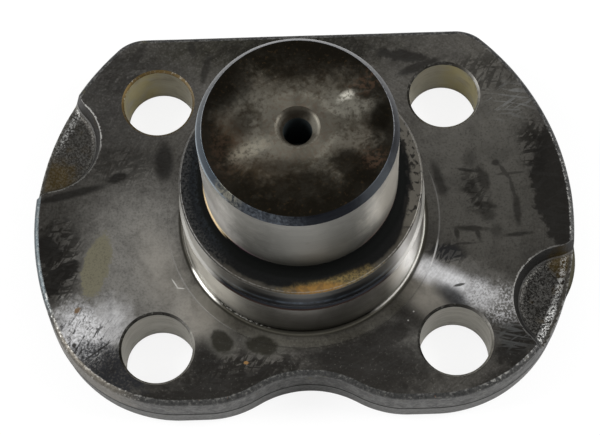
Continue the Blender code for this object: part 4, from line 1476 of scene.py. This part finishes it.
def pale_floor():
    """A pale sheet that the camera sees a little lighter than it is lit, so that it stays near white."""
    material = bpy.data.materials.new("Pale floor")
    material.use_nodes = True
    tree = material.node_tree
    shader = tree.nodes["Principled BSDF"]
    fill(tree, shader, {"Base Color": FLOOR_COLOUR, "Roughness": 0.7, "Specular IOR Level": 0.2})
    rays = node(tree, "LightPath").outputs
    seen = calc(tree, "MULTIPLY", rays["Is Camera Ray"], FLOOR_GLOW)
    glow = node(tree, "Emission", {"Color": (1, 1, 1, 1), "Strength": 1.0}).outputs[0]
    shown = node(tree, "MixShader", {0: seen, 1: shader.outputs[0], 2: glow}).outputs[0]
    tree.links.new(shown, tree.nodes["Material Output"].inputs["Surface"])
    return material


def floor(size, finish):
    solid = bmesh.new()
    bmesh.ops.create_grid(solid, x_segments=FLOOR_PARTS, y_segments=FLOOR_PARTS, size=size / 2)
    return new_piece("floor", solid, [finish])


def lamp(name, side):
    """A square soft lamp, on the right for a side of 1 and on the left for -1."""
    light = bpy.data.lights.new(name, "AREA")
    light.shape = "RECTANGLE"
    light.size = light.size_y = LAMP_SIZE
    light.energy = LAMP_POWER
    thing = added(name, light)
    thing.location = (side * LAMP_PLACE[0], *LAMP_PLACE[1:])
    thing.rotation_euler = (Vector(LAMP_TARGET) - thing.location).to_track_quat("-Z", "Y").to_euler()


def camera():
    view = bpy.data.cameras.new("camera")
    view.lens = CAMERA_LENS
    view.sensor_width = CAMERA_SENSOR
    view.clip_start = CAMERA_NEAR
    thing = added("camera", view)
    thing.location = CAMERA_PLACE
    thing.rotation_euler = Euler([math.radians(angle) for angle in CAMERA_TURN])
    bpy.context.scene.camera = thing


def surroundings():
    """A world that is white where it is seen, directly or in the metal, and dimmer as a light."""
    world = bpy.data.worlds.new("studio")
    bpy.context.scene.world = world
    world.use_nodes = True
    tree = world.node_tree
    air = tree.nodes["Background"].inputs
    air["Color"].default_value = (1, 1, 1, 1)
    rays = node(tree, "LightPath").outputs
    seen = calc(tree, "MAXIMUM", rays["Is Camera Ray"], rays["Is Glossy Ray"])
    seen = calc(tree, "MAXIMUM", seen, rays["Is Transmission Ray"])
    level = node(tree, "MapRange", {"Value": seen, "To Min": WORLD_LIGHT, "To Max": 1.0}).outputs[0]
    tree.links.new(level, air["Strength"])


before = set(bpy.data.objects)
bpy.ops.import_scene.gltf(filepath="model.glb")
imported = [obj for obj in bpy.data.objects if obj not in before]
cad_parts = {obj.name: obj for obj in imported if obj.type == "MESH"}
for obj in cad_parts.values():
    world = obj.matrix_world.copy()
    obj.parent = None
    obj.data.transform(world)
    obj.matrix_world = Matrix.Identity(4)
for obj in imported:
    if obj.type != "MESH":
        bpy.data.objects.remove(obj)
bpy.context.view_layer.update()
bpy.context.scene.view_settings.view_transform = "Standard"

effects = shared_effects()
finishes = {
    "face": turned_flange_face(effects),
    "edge": forged_edge(effects),
    "back": back_face(effects),
    "recess": forged_recess(effects),
    "bolt hole": bolt_hole_bore(effects),
    "hole chamfer": bolt_hole_chamfer(effects),
    "boss": register_boss(effects),
    "neck": blued_neck(effects),
    "shoulder": bearing_shoulder(effects),
    "pin": ground_pin(effects),
    "chamfer": pin_chamfer(effects),
    "pin end": turned_pin_end(effects),
    "centre hole": centre_hole(effects),
}
steel = machined_king_pin(finishes)
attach(steel, "root")
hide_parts("king_pin")

ground = floor(FLOOR_SIZE, pale_floor())
camera()
surroundings()
lamp("left softbox", -1)
lamp("right softbox", 1)
